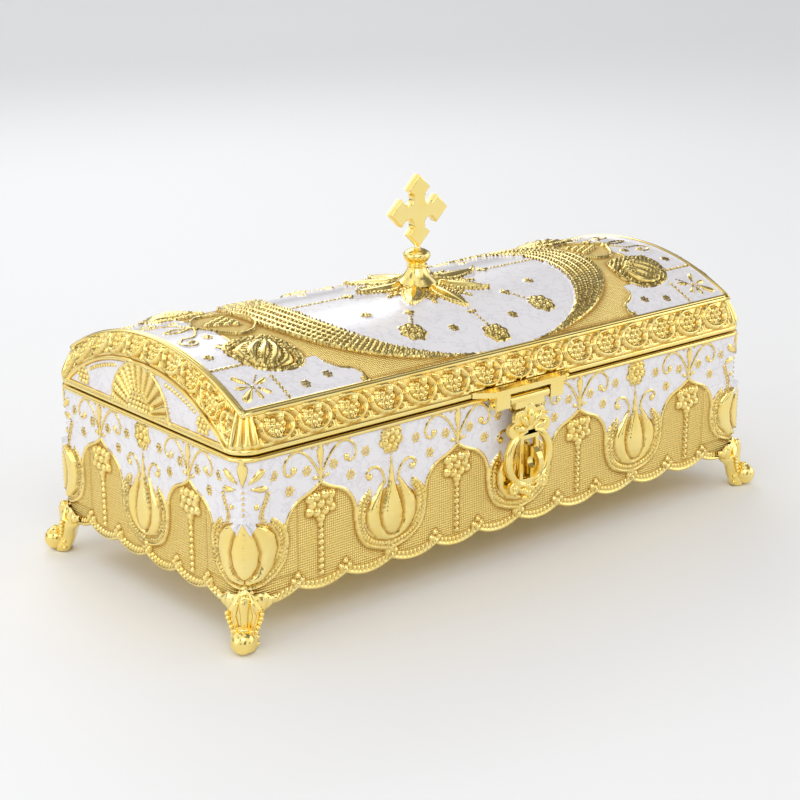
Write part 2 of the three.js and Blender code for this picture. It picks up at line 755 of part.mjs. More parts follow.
// The hasp: barrel, five-lobed fan, oval of two scrolled bands round a slotted plate, volutes.
function haspSolid() {
  const thickness = hasp.back - hasp.front;
  const upright = (shape, stand = 0) => {
    const form = slab(shape, thickness + stand);
    form.rotateX(Math.PI / 2);
    form.translate(0, hasp.back, 0);
    return toManifold(form);
  };
  const barrel = toManifold(rod(clasp.barrelRadius, -clasp.barrelHalf, clasp.barrelHalf, clasp.pinY, clasp.pinZ));
  const fanRoot = 50.2;
  const fan = [[-3.4, fanRoot - 1.4]];
  const lobes = 5;
  for (let step = 0; step <= 4 * lobes; step += 1) {
    const angle = Math.PI * (1.04 - 1.08 * step / (4 * lobes));
    const reach = 10.6 * (0.82 + 0.18 * Math.abs(Math.sin(step * Math.PI / 4)));
    fan.push([reach * Math.cos(angle) * 0.98, Math.min(fanRoot + reach * Math.sin(angle), clasp.pinZ - 1.4)]);
  }
  fan.push([3.4, fanRoot - 1.4]);
  const neck = polygon([
    [-6, clasp.pinZ - 4], [6, clasp.pinZ - 4], [6, clasp.pinZ - 0.4], [-6, clasp.pinZ - 0.4],
  ]);
  const solids = [barrel, upright(neck), upright(polygon(fan.reverse()))];
  const plate = polygon([
    [-4.4, hasp.slotBottom - 5], [4.4, hasp.slotBottom - 5], [4.4, fanRoot + 1], [-4.4, fanRoot + 1],
  ]);
  solids.push(upright(plate));
  for (const side of [-1, 1]) {
    const oval = sampled((t) => {
      const angle = Math.PI * (0.44 - 0.86 * t);
      return [side * (hasp.ringHalf - 1.6) * Math.cos(angle), hasp.ringCentre - 0.8 + 10.4 * Math.sin(angle)];
    }, 7);
    const shape = band(side > 0 ? [...oval].reverse() : oval, (t) => 1 + 1.1 * Math.sin(Math.PI * t));
    solids.push(upright(shape, 0.5));
    const volute = new THREE.Shape().absarc(side * 6.6, hasp.bottom + 6.4, 2.7, 0, Math.PI * 2);
    solids.push(upright(volute, 0.4));
  }
  const beads = new THREE.Shape().absarc(0, hasp.bottom + 3.4, 3.4, 0, Math.PI * 2);
  solids.push(upright(beads));
  const slot = polygon([
    [-hasp.slotHalf, hasp.slotBottom], [hasp.slotHalf, hasp.slotBottom],
    [hasp.slotHalf, hasp.slotTop], [-hasp.slotHalf, hasp.slotTop],
  ]);
  const cutter = slab(slot, 8);
  cutter.rotateX(Math.PI / 2);
  cutter.translate(0, hasp.back + 3, 0);
  return join(solids)
    .subtract(toManifold(cutter))
    .subtract(toManifold(rod(clasp.boreRadius, -20, 20, clasp.pinY, clasp.pinZ)));
}

// The lug that passes through the slot: a D with a round eye.
function stapleSolid() {
  const root = -wall.halfWidth - 2.8;
  const middle = (staple.top + staple.bottom) / 2;
  const tall = (staple.top - staple.bottom) / 2;
  const shape = new THREE.Shape();
  shape.moveTo(root, staple.bottom);
  shape.lineTo(root, staple.top);
  shape.lineTo(root - 3, staple.top);
  const steps = 8;
  for (let step = 1; step < steps; step += 1) {
    const angle = Math.PI * step / steps;
    shape.lineTo(root - 3 + (staple.nose - root + 3) * Math.sin(angle), middle + tall * Math.cos(angle));
  }
  shape.lineTo(root - 3, staple.bottom);
  const eye = new THREE.Path().absarc(staple.eyeY, middle, staple.eyeRadius, 0, Math.PI * 2);
  shape.holes.push(eye);
  const form = slab(shape, 2 * staple.halfThickness);
  form.rotateY(Math.PI / 2);
  form.rotateX(Math.PI / 2);
  form.translate(-staple.halfThickness, 0, 0);
  return form;
}

// ---- The rear hinges ---------------------------------------------------------------------

// One leaf with its knuckles: the box's has two outer knuckles, the lid's one in the middle.
function hingeLeaf(side, knuckles, plate) {
  const { axisY, axisZ, knuckleRadius, half } = hinge;
  const middle = side * hinge.x;
  const rodHere = (radius, from, to) => toManifold(rod(radius, middle + from, middle + to, axisY, axisZ, 8));
  const plateHere = (from, to) => toManifold(acrossPlate(plate, middle + from, middle + to));
  const parts = [plateHere(-half, half).subtract(rodHere(knuckleRadius + 0.4, -2 * half, 2 * half))];
  for (const [from, to] of knuckles) {
    parts.push(rodHere(knuckleRadius, from, to), plateHere(from, to));
  }
  return join(parts).subtract(rodHere(hinge.pinRadius + 0.15, -2 * half, 2 * half));
}

function hingePieces(side) {
  const { axisY, axisZ, leaf: thickness, half, drop } = hinge;
  const back = wall.halfWidth + clearance;
  const boxPlate = [
    [back, axisZ - drop], [back + thickness, axisZ - drop], [back + thickness, axisZ - 5],
    [axisY + 1.6, axisZ - 1.6], [axisY - 1, axisZ - 0.6], [back + 1.2, axisZ - 2.6], [back + 0.9, axisZ - 3.4],
    [back, axisZ - 4.4],
  ];
  const lidPlate = [
    [back + 0.65, axisZ + 0.9], [axisY - 1, axisZ + 0.4], [axisY + 1.4, axisZ + 1.8],
    [back + 2.6, axisZ + 3.6], [back - 0.2, axisZ + 10.4], [back - 1.3, axisZ + 9.9], [back + 1.2, axisZ + 3.2],
  ];
  const knuckle = 3;
  return {
    box: fromManifold(hingeLeaf(side, [[-half, -knuckle - 0.2], [knuckle + 0.2, half]], boxPlate)),
    lid: fromManifold(hingeLeaf(side, [[-knuckle, knuckle]], lidPlate)),
    pin: rod(hinge.pinRadius, side * hinge.x - half, side * hinge.x + half, axisY, axisZ, 8),
  };
}

// ---- Assembly ----------------------------------------------------------------------------

const gilt = { color: 0xe2b64c, metalness: 1, roughness: 0.18 };
const enamelled = { color: 0xece0b8, metalness: 0.6, roughness: 0.3 };

function piece(name, geometry, look = gilt) {
  geometry.computeVertexNormals();
  const mesh = new THREE.Mesh(geometry, new THREE.MeshStandardMaterial(look));
  mesh.name = name;
  return mesh;
}

const casket = new THREE.Group();
casket.position.y = depthShift;
casket.add(piece('box_body', boxBody(), enamelled));
casket.add(piece('lid', lidBody(), enamelled));
const footForm = fromManifold(footSolid());
['foot_front_left', 'foot_front_right', 'foot_back_right', 'foot_back_left'].forEach((name, side) => {
  const corner = outline.at(sideStart[side]);
  const footMesh = piece(name, footForm);
  footMesh.position.set(corner.x, corner.y, 0);
  footMesh.rotation.z = side * Math.PI / 2;
  casket.add(footMesh);
});
casket.add(piece('finial_stem', finialStem()));
casket.add(piece('finial_cross', crossPlate()));
casket.add(piece('clasp_bracket', fromManifold(claspBracket())));
casket.add(piece('clasp_pin', claspPin()));
casket.add(piece('hasp', fromManifold(haspSolid())));
casket.add(piece('staple', stapleSolid()));
for (const [name, side] of [['left', -1], ['right', 1]]) {
  const pieces = hingePieces(side);
  casket.add(piece(`hinge_${name}_box_leaf`, pieces.box));
  casket.add(piece(`hinge_${name}_lid_leaf`, pieces.lid));
  casket.add(piece(`hinge_${name}_pin`, pieces.pin));
}

export default casket;
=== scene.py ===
import math

import bmesh
import bpy
import numpy as np
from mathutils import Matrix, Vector


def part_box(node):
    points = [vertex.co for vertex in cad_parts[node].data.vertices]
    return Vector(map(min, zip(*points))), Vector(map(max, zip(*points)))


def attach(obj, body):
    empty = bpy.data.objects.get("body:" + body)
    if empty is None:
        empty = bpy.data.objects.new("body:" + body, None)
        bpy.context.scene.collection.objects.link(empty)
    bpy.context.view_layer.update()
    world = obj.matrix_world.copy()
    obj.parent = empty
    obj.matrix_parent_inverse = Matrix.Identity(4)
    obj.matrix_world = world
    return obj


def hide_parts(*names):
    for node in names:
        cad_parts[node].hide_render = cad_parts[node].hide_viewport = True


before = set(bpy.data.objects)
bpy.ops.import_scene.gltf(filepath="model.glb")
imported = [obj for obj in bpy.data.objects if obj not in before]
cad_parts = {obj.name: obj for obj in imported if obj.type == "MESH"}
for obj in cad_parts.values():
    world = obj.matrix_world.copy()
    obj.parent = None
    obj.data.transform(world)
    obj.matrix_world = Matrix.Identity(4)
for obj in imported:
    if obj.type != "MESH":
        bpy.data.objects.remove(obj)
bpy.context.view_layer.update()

MM = 0.001
FINE = 0.45  # spacing of the relief grids

CENTRE_Y = sum(corner[1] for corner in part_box("finial_cross")) / 2 / MM
CLEARANCE = 0.35
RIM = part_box("box_body")[1][2] / MM + CLEARANCE

WALL = {"half_length": 122.4, "half_width": 57.0, "radius": 7.4}
THICKNESS = 2.6
FLOOR_TOP = 20.2
FLOOR_UNDER = 17.6
CUSP = 15.7
LOBE = 2.5
SCALLOPS = (12, 6)  # on a long side and on an end
SCALLOP_LENGTH = 20
WALL_HEIGHT = 52
DOT_PITCH = 1.5

LID = {"half_length": 123.2, "half_width": 57.6, "radius": 8.1}
LIP = 2.0
RIDGE_HALF = 52.5
RIDGE_HEIGHT = 12.5
CROWN_HEIGHT = 27.0
CREST_HALF = 118.0
END_HALF = 122.4
ARCH_HALF = 51.0
ARCH_FOOT = 1.3
ARCH_PEAK = 19.4
ARCH_POWER = 2.4
LID_THICKNESS = 2.4
BAND_FOOT = 57.0  # half width at the foot of the bands
BAND_TOP_END = 49.0  # half width at the top of the bands over the ends
OVAL_HALF_WIDTH = 53.4
OVAL_POWER = 2.3
LONG_CELLS = 7.5  # medallions on half a long side
END_CELLS = 4.5
CELL = 15.2


# ---- Meshes ----------------------------------------------------------------------------------

def mesh_from(name, points, faces, material, body, slot, smooth=True, values=None):
    """A piece of the object from points in millimetres, riding on its body."""
    mesh = bpy.data.meshes.new(name)
    points = np.asarray(points, dtype=np.float32).reshape(-1, 3)
    faces = np.asarray(faces, dtype=np.int32)
    corners = faces.shape[1]
    mesh.vertices.add(len(points))
    mesh.vertices.foreach_set("co", (points * MM).ravel())
    mesh.loops.add(faces.size)
    mesh.loops.foreach_set("vertex_index", faces.ravel())
    mesh.polygons.add(len(faces))
    mesh.polygons.foreach_set("loop_start", np.arange(0, faces.size, corners, dtype=np.int32))
    mesh.update(calc_edges=True)
    for key, value in (values or {}).items():
        vector = value.ndim > 2
        layer = mesh.attributes.new(key, "FLOAT_VECTOR" if vector else "FLOAT", "POINT")
        layer.data.foreach_set("vector" if vector else "value", value.astype(np.float32).ravel())
    mesh.validate()
    piece = bpy.data.objects.new(name, mesh)
    bpy.context.scene.collection.objects.link(piece)
    mesh.materials.append(material)
    if smooth:
        mesh.shade_smooth()
    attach(piece, body)
    return piece


def grid_faces(rows, columns, close_columns=False):
    """Quads of a grid of rows by columns points, each row closed round if asked."""
    column = np.arange(columns if close_columns else columns - 1)
    r, c = np.meshgrid(np.arange(rows - 1), column, indexing="ij")
    above = r + 1
    beside = (c + 1) % columns
    return np.stack([
        r * columns + c, r * columns + beside, above * columns + beside, above * columns + c,
    ], axis=-1).reshape(-1, 4)


def merged(parts):
    """Several (points, faces) as one."""
    points = []
    faces = []
    start = 0
    for some_points, some_faces in parts:
        some_points = np.asarray(some_points, dtype=float).reshape(-1, 3)
        points.append(some_points)
        faces.append(np.asarray(some_faces) + start)
        start += len(some_points)
    return np.concatenate(points), np.concatenate(faces)


def ball(centre, radius, rings=8, sides=12):
    """A ball as a closed grid."""
    tilt = np.linspace(-math.pi / 2 * 0.98, math.pi / 2 * 0.98, rings)[:, None]
    turn = np.linspace(0, 2 * math.pi, sides, endpoint=False)[None, :]
    points = np.stack([
        centre[0] + radius * np.cos(tilt) * np.cos(turn),
        centre[1] + radius * np.cos(tilt) * np.sin(turn),
        centre[2] + radius * np.sin(tilt) * np.ones_like(turn),
    ], axis=-1)
    return points, grid_faces(rings, sides, close_columns=True)


def tube(line, radius, sides=10):
    """A round wire along a line of points; radius may change along it. Ends are drawn in."""
    line = np.asarray(line, dtype=float)
    radius = np.broadcast_to(radius, len(line)).copy()
    along = np.gradient(line, axis=0)
    along /= np.linalg.norm(along, axis=1, keepdims=True) + 1e-9
    along = np.concatenate([along[:1], along, along[-1:]])
    line = np.concatenate([line[:1], line, line[-1:]])
    radius = np.concatenate([[radius[0] * 0.05], radius, [radius[-1] * 0.05]])
    seed = np.array([0.31, 0.17, 0.93]) if abs(along[:, 2]).mean() < 0.8 else np.array([1.0, 0.1, 0.0])
    side = np.cross(along, seed)
    side /= np.linalg.norm(side, axis=1, keepdims=True)
    other = np.cross(along, side)
    turn = np.linspace(0, 2 * math.pi, sides, endpoint=False)
    ring = (side[:, None, :] * np.cos(turn)[None, :, None]
            + other[:, None, :] * np.sin(turn)[None, :, None])
    points = line[:, None, :] + radius[:, None, None] * ring
    return points, grid_faces(len(line), sides, close_columns=True)


def curve(points, steps=6):
    """A smooth line through points."""
    points = np.asarray(points, dtype=float)
    padded = np.concatenate([2 * points[:1] - points[1:2], points, 2 * points[-1:] - points[-2:-1]])
    line = []
    for place in range(len(points) - 1):
        p0, p1, p2, p3 = padded[place:place + 4]
        for step in range(steps):
            t = step / steps
            line.append(0.5 * (2 * p1 + (p2 - p0) * t + (2 * p0 - 5 * p1 + 4 * p2 - p3) * t * t
                               + (3 * p1 - p0 - 3 * p2 + p3) * t ** 3))
    line.append(points[-1])
    return np.array(line)


# ---- Relief on a sheet -------------------------------------------------------------------------

def nearest(line, u, v):
    """Distance of every place from a line, how far along it the nearest point is, and its length."""
    best = np.full(u.shape, 1e6)
    along = np.zeros(u.shape)
    walked = 0.0
    for start, end in zip(line[:-1], line[1:]):
        step = end - start
        length = math.hypot(*step) + 1e-9
        t = np.clip(((u - start[0]) * step[0] + (v - start[1]) * step[1]) / length ** 2, 0, 1)
        distance = np.hypot(u - start[0] - t * step[0], v - start[1] - t * step[1])
        closer = distance < best
        best = np.where(closer, distance, best)
        along = np.where(closer, walked + t * length, along)
        walked += length
    return best, along, walked


def rounded(distance, radius):
    """Height from 0 to 1 of a round swelling of that radius."""
    return np.sqrt(np.clip(1 - (distance / np.maximum(radius, 1e-3)) ** 2, 0, 1))


class Relief:
    """Heights and finishes over a grid of places (u, v).

    gilt and knurl are distances inside the gilded and the knurled parts, negative outside.
    field() gilds and knurls, enamel() clears both, put() raises smooth gilding, stud() adds height.
    """

    def __init__(self, u, v):
        self.u = u
        self.v = v
        self.height = np.zeros(u.shape)
        self.gilt = np.full(u.shape, -2.0)
        self.knurl = np.full(u.shape, -2.0)

    def field(self, inside):
        self.gilt = np.maximum(self.gilt, inside)
        self.knurl = np.maximum(self.knurl, inside)

    def enamel(self, inside):
        self.gilt = np.minimum(self.gilt, -inside)
        self.knurl = np.minimum(self.knurl, -inside)

    def put(self, height, inside):
        self.height = np.maximum(self.height, height)
        self.gilt = np.maximum(self.gilt, inside)
        self.knurl = np.minimum(self.knurl, -inside)

    def stud(self, height):
        self.height = self.height + height

    def dome(self, x, y, radius, height):
        distance = np.hypot(self.u - x, self.v - y)
        self.put(height * rounded(distance, radius), radius - distance)

    def wire(self, line, width, height):
        distance, _, _ = nearest(np.asarray(line, dtype=float), self.u, self.v)
        half = width / 2
        self.put(height * rounded(distance, half), half - distance)

    def beads(self, line, pitch, radius, height):
        distance, along, total = nearest(np.asarray(line, dtype=float), self.u, self.v)
        pitch = total / max(1, round(total / pitch))
        bead = np.hypot(distance, np.mod(along, pitch) - pitch / 2)
        self.put(height * rounded(bead, radius), radius - bead)

    def dots(self, line, radius, height):
        """Small beads standing on what is already there."""
        distance, along, _ = nearest(np.asarray(line, dtype=float), self.u, self.v)
        bead = np.hypot(distance, np.mod(along, DOT_PITCH) - DOT_PITCH / 2)
        self.stud(height * rounded(bead, radius))

    def stroke(self, line, widths, height, power=1.0):
        """A petal along a line whose half width runs through widths."""
        distance, along, total = nearest(np.asarray(line, dtype=float), self.u, self.v)
        half = np.interp(along / total, np.linspace(0, 1, len(widths)), widths)
        swell = height * np.minimum(1, half / max(widths)) ** power
        self.put(swell * rounded(distance, half), half - distance)

    def drop(self, x, y, length, half, height, angle=0.0):
        """A teardrop whose point is at (x, y) and that swells to its round end."""
        du = self.u - x
        dv = self.v - y
        s = (du * math.cos(angle) + dv * math.sin(angle)) / length
        w = -du * math.sin(angle) + dv * math.cos(angle)
        taper = np.sqrt(np.clip(s, 0, 1)) * np.sqrt(np.clip(1 - s, 0, 1) * 1.6 + 1e-6)
        width = half * taper * 1.5 * np.clip(s + 0.25, 0, 1)
        width = np.where((s > 0) & (s < 1), width, 0)
        there = width > 0.05
        self.put(height * rounded(w, width) * there, np.where(there, width - np.abs(w), -1.0))

    def flower(self, x, y, ring, bead, height, petals=6, rim=0.0, turn=0.0):
        if rim:
            du = self.u - x
            dv = self.v - y
            edge = rim + 0.45 * np.cos(petals * (np.arctan2(dv, du) - turn))
            away = np.hypot(du, dv) - edge
            self.put(0.35 * (away < 0) + 0.65 * rounded(away, 0.5), 0.5 - away)
        for petal in range(petals):
            angle = turn + petal * 2 * math.pi / petals
            self.dome(x + ring * math.cos(angle), y + ring * math.sin(angle), bead, height)
        self.dome(x, y, bead, height * 1.1)

    def painted_hollow_shade(self):
        """How deep each place lies below the mean of its neighbourhood, from 0 to 1, kept as painted
        shade for the hollows.
        """
        mean = self.height
        for axis in (0, 1):
            mean = sum(np.roll(mean, shift, axis) for shift in range(-3, 4)) / 7
        return np.clip((mean - self.height) * 3.2, 0, 1)

    def values(self, u, v):
        place = np.stack([u, v, np.zeros_like(u)], axis=-1)
        return {"gilt": np.clip(self.gilt, -2, 2), "knurl": np.clip(self.knurl, -2, 2), "place": place,
                "painted_hollow_shade": self.painted_hollow_shade()}


# ---- The walls -----------------------------------------------------------------------------------

def around(distance, half_length, half_width, radius):
    """Places and outward directions on a rounded rectangle, from the front left corner's middle."""
    straights = (2 * (half_length - radius), 2 * (half_width - radius))
    arc = radius * math.pi / 2
    total = 2 * sum(straights) + 4 * arc
    rest = np.mod(distance, total)
    result = np.zeros(rest.shape + (4,))
    start = 0.0
    for side in range(4):
        straight = straights[side % 2]
        here = (rest >= start - 1e-9) & (rest <= start + straight + arc + 1e-9)
        along = rest - start - (straight + arc) / 2
        turn = np.sign(along) * np.maximum(np.abs(along) - straight / 2, 0) / radius
        flat = np.clip(along, -straight / 2, straight / 2) + radius * np.sin(turn)
        deep = (half_length if side % 2 else half_width) - radius * (1 - np.cos(turn))
        facing = (side - 1) * math.pi / 2
        places = np.stack([
            deep * math.cos(facing) - flat * math.sin(facing),
            deep * math.sin(facing) + flat * math.cos(facing),
            np.cos(facing + turn), np.sin(facing + turn),
        ], axis=-1)
        result = np.where(here[..., None], places, result)
        start += straight + arc
    return result


def wall_sides():
    arc = WALL["radius"] * math.pi / 2
    long_side = 2 * (WALL["half_length"] - WALL["radius"]) + arc
    end_side = 2 * (WALL["half_width"] - WALL["radius"]) + arc
    return [long_side, end_side, long_side, end_side]


def scallop_place(distance):
    """How many scallops a place is along the outline from the corner that it follows."""
    sides = wall_sides()
    rest = np.mod(distance, sum(sides))
    place = np.zeros(rest.shape)
    start = 0.0
    for side, length in enumerate(sides):
        here = (rest >= start - 1e-9) & (rest <= start + length + 1e-9)
        place = np.where(here, (rest - start) / length * SCALLOPS[side % 2], place)
        start += length
    return place


def lower_edge(place):
    return CUSP - LOBE * (1 - (2 * np.mod(place, 1) - 1) ** 2) - RIM


def arch_relief(relief, b):
    """What stands over and hangs under one ogee arch; b is the distance from its middle."""
    v = relief.v
    across, relief.u = relief.u, b
    reach = [0, 4, 9.5, 13, 14.5, 15, 18, 24, 30]
    tops = [-14.7, -17.2, -19.5, -23, -27, -33, -41, -44.5, -46]
    relief.field(np.clip((np.interp(b, reach, tops) - v) * 0.7, -2, 2))
    relief.wire(curve(list(zip(reach, tops)), 4), 1.15, 0.8)
    relief.put(0.3 * rounded(np.hypot(b / 5.2, (v + 22.6) / 4.2), 1),
               (1 - np.hypot(b / 5, (v + 22.6) / 4)) * 4)
    for x, y in [(0, -22.4), (1.75, -19.6), (3.5, -22.2), (1.75, -25.2), (4.6, -24.6), (4.4, -20),
                 (0, -27.4)]:
        relief.dome(x, y, 1.6, 1.35)
    relief.beads([(0, -28.6), (0, -48)], 2.1, 0.98, 0.95)
    relief.drop(0, -10.4, 8.6, 1.75, 1.0, math.pi / 2)
    relief.wire([(0, -9.5), (0, -14.8)], 1.1, 0.8)
    relief.wire(curve([(0.2, -12.8), (2.2, -8.8), (5.4, -4.6), (8.8, -2.5), (12.2, -3.1), (14.6, -5.8),
                       (14.4, -8.9), (12.4, -10), (10.8, -9)], 4), 0.95, 0.75)
    relief.dome(10.9, -8.5, 1.25, 1.0)
    relief.drop(0.4, -13.6, 3.4, 0.9, 0.8, 0.35)
    relief.dome(3, -2.5, 0.6, 0.5)
    for x, y in [(5.5, -9.8), (12.6, -15.2), (19, -8.4)]:
        relief.flower(x, y, 1.35, 0.62, 0.62)
    relief.u = across


def tulip_border(relief, scale):
    """The beaded border of a tulip, from its shoulder down to its foot."""
    line, outer, inner = (curve(points, 5) * [scale, 1] for points in (
        [(9.7, -23.4), (12.7, -27), (13.5, -33), (11.8, -38.4), (6.8, -42.4), (0, -44)],
        [(9.6, -22.7), (14.2, -27), (15.1, -33), (13.2, -39.4), (7.6, -43.9), (0, -45.6)],
        [(9.2, -25), (11.3, -28.4), (11.9, -33), (10.3, -37.4), (6, -40.9), (0, -42.3)],
    ))
    relief.stroke(line, [0.9, 1.8, 1.9, 1.8, 1.6], 0.55, 0.2)
    relief.wire(outer, 0.95, 1.05)
    relief.wire(inner, 0.8, 1.0)
    for shift in (-0.72, 0.72):
        relief.beads(line + np.array([shift, shift * 0.35]), 1.45, 0.66, 1.25)


def tulip_relief(relief, a):
    """A tulip on a wall; a is the distance from its middle."""
    across, relief.u = relief.u, a
    v = relief.v
    body = np.interp(v, [-44, -42, -38, -33, -28, -25, -22.6], [0, 6, 10.4, 11.7, 10.8, 7, 0])
    relief.put(0.35 * (a < body), np.where(body > 0.1, body - a, -1))
    tulip_border(relief, 1.0)
    side = curve([(3.3, -20.8), (5.7, -25.4), (8, -31), (7, -36.6), (3.4, -40.6), (0.4, -42)], 5)
    relief.stroke(side, [0.5, 1.5, 2.7, 2.9, 2.2, 0.8], 2.0, 0.6)
    centre = np.interp(v, [-40.6, -40, -38.4, -36, -33, -29, -25, -21, -17, -14, -13.5],
                       [0, 2.1, 3.9, 4.8, 4.9, 3.9, 2.4, 1.3, 0.75, 0.4, 0])
    relief.put(2.6 * (centre / 4.9) ** 0.5 * rounded(a, centre), np.where(centre > 0.05, centre - a, -1))
    relief.wire(curve([(2.9, -21.6), (3.7, -18), (5.8, -15.4), (8.8, -15), (10.8, -16.8),
                       (10, -18.6)], 4), 1.0, 0.8)
    relief.dome(9.3, -18.1, 1.2, 1.05)
    for y in (-15.2, -17.4):
        relief.dome(0, y, 0.6, 0.7)
    relief.beads([(0, -10.9), (0, -14)], 1.5, 0.55, 0.7)
    for line in (side[4:-3], [(1.9, -25), (3, -31), (2.4, -37)]):
        relief.dots(line, 0.42, 0.28)
    relief.flower(0, -6.4, 2.75, 1.45, 1.35, petals=7, rim=4.5, turn=math.pi / 2)
    relief.dome(0, -46.4, 1.2, 1.1)
    relief.u = across


def corner_relief(relief, a):
    """The broad tulip wrapped round a corner, with the spray above it."""
    across, relief.u = relief.u, a
    v = relief.v
    body = np.interp(v, [-44, -42.4, -39, -33, -28, -25, -21.6], [0, 6, 9.6, 11.6, 10.6, 7.4, 0])
    heart = np.interp(v, [-42, -40.6, -37.5, -33, -28.5, -24.5, -21.8],
                      [0, 2.6, 4.3, 4.9, 3.7, 2.0, 0.5])
    petal = (a - heart) / np.maximum(body - heart, 0.1)
    swell = np.where(a < heart, 2.5 * rounded(a, heart + 0.01), 0.3 + 1.7 * rounded(petal - 0.5, 0.55))
    relief.put(0.25 * (body > 0.1), np.where(body > 0.1, body + 1.3 - a, -1))
    relief.put(swell * (body > 0.1), np.where(body > 0.1, body - a, -1))
    notch = (1.9 + (v + 22.6) * 0.42) - np.abs(a - 2.1)
    relief.enamel(np.where(v > -27.5, notch, -2))
    tulip_border(relief, 1.05)
    tip = curve([(9.4, -13.2), (8, -16.6), (6.4, -20.6), (7.4, -23.6), (10.4, -25.4)], 4)
    relief.beads(tip, 1.35, 0.62, 0.85)
    relief.wire(tip + np.array([-1.1, -0.2]), 0.7, 0.6)
    for share in (0.02, 0.72):
        down = np.linspace(-25.5, -41.5, 12)
        aside = share * np.interp(down, [-42, -33, -25], [6, 11, 8])
        relief.dots(np.stack([aside, down], axis=-1), 0.45, 0.3)
    relief.drop(0, -10.6, 8.8, 2.2, 1.1, math.pi / 2)
    relief.drop(1.5, -9.6, 7.4, 1.7, 1.0, 0.62)
    relief.drop(2.1, -11.2, 6.6, 1.4, 0.9, -0.14)
    relief.dome(4.4, -17.6, 1.0, 0.8)
    relief.beads([(0, -11.4), (0, -21)], 2.1, 0.55, 0.6)
    relief.u = across


def wall_piece(name, first, last, finish):
    """The embossed outside of two neighbouring walls."""
    sides = wall_sides()
    starts = [sum(sides[:side]) for side in range(5)]
    columns = int((starts[last + 1] - starts[first]) / FINE)
    distance = np.linspace(starts[first], starts[last + 1], columns)
    place = scallop_place(distance)
    low = lower_edge(place)
    top = -CLEARANCE
    rows = int(WALL_HEIGHT / FINE)
    t = np.linspace(0, 1, rows)[:, None]
    v = top + (low[None, :] - top) * t
    u = np.broadcast_to(distance[None, :], v.shape)
    scallop = np.broadcast_to(place[None, :], v.shape)

    a = SCALLOP_LENGTH * np.abs(np.mod(scallop + 1.5, 3) - 1.5)
    walked = np.mod(u, starts[4])
    long_side = (walked < starts[1] - 1e-6) | ((walked >= starts[2]) & (walked < starts[3]))
    side_scallops = np.where(long_side, *SCALLOPS)
    at_corner = (scallop < 1) | (scallop > side_scallops - 1)

    relief = Relief(a, v)
    arch_relief(relief, 1.5 * SCALLOP_LENGTH - a)
    face = Relief(a, v)
    face.height, face.gilt, face.knurl = relief.height.copy(), relief.gilt.copy(), relief.knurl.copy()
    tulip_relief(face, a)
    corner_relief(relief, a)
    for key in ("height", "gilt", "knurl"):
        setattr(relief, key, np.where(at_corner, getattr(relief, key), getattr(face, key)))

    edge = v - low[None, :]
    relief.put(0.95 * rounded(edge - 0.7, 0.75), 1.3 - edge)
    bead = np.hypot(edge - 2.2, np.mod(u, 1.8) - 0.9)
    relief.put(0.85 * rounded(bead, 0.78), 3 - edge)
    cusp = SCALLOP_LENGTH * np.abs(np.mod(scallop + 0.5, 1) - 0.5)
    across, relief.u = relief.u, cusp
    for x, y in [(0, -45.4), (1.7, -47.2), (0, -48.6)]:
        relief.dome(x, y, 1.05, 1.3)
    relief.u = across
    relief.put(0.95 * rounded(v + 1.3, 0.9), 2.1 + v)

    x, y, nx, ny = np.moveaxis(around(u, **WALL), -1, 0)
    h = relief.height
    points = np.stack([x + nx * h, y + ny * h + CENTRE_Y, v + RIM], axis=-1)
    faces = grid_faces(rows, columns)[:, ::-1]
    return mesh_from(name, points, faces, finish, "box", "box", values=relief.values(u, v))


def lining(name, rows, walk, finish, body, capped=False):
    """Smooth skin from (stand, height) rows on a rounded rectangle; height may be a function."""
    steps = 900
    share = np.linspace(0, 1, steps, endpoint=False)
    place = scallop_place(share * sum(wall_sides()))
    straight = walk["half_length"] + walk["half_width"] - 2 * walk["radius"]
    distance = share * (4 * straight + 2 * math.pi * walk["radius"])
    x, y, nx, ny = np.moveaxis(around(distance, **walk), -1, 0)
    rings = []
    for stand, height in rows:
        level = height(place) if callable(height) else np.full(steps, height)
        rings.append(np.stack([x + nx * stand, y + ny * stand + CENTRE_Y, level], axis=-1))
    parts = [(np.array(rings), grid_faces(len(rows), steps, close_columns=True))]
    if capped:
        inner = rings[-1] * [0.001, 0.001, 1] + np.array([0, CENTRE_Y * 0.999, 0])
        parts.append((np.array([rings[-1], inner]), grid_faces(2, steps, close_columns=True)))
    mesh_from(name, *merged(parts), finish, body, body, smooth=False)


def box_pieces(finish, plain):
    front = wall_piece("walls_front_right", 0, 1, finish)
    wall_piece("walls_back_left", 2, 3, finish)

    def hem(place):
        return lower_edge(place) + RIM

    lining("box_lining", [
        (0.2, RIM - CLEARANCE), (-THICKNESS, RIM - CLEARANCE), (-THICKNESS, FLOOR_TOP),
    ], WALL, plain, "box", capped=True)
    lining("box_underside", [
        (0.3, hem), (-THICKNESS, lambda place: hem(place) + 0.6), (-THICKNESS, FLOOR_UNDER),
    ], WALL, plain, "box", capped=True)
    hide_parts("box_body")


# ---- The lid -------------------------------------------------------------------------------------

VAULT_RISE = CROWN_HEIGHT - RIDGE_HEIGHT
VAULT_RADIUS = (RIDGE_HALF ** 2 + VAULT_RISE ** 2) / (2 * VAULT_RISE)
VAULT_CENTRE = CROWN_HEIGHT - VAULT_RADIUS
VAULT_ARC = VAULT_RADIUS * math.asin(RIDGE_HALF / VAULT_RADIUS)


def arch_height(y):
    return ARCH_FOOT + (ARCH_PEAK - ARCH_FOOT) * (1 - np.clip(np.abs(y) / ARCH_HALF, 0, 1) ** ARCH_POWER)


def crest_height(y):
    return VAULT_CENTRE + np.sqrt(VAULT_RADIUS ** 2 - y ** 2)


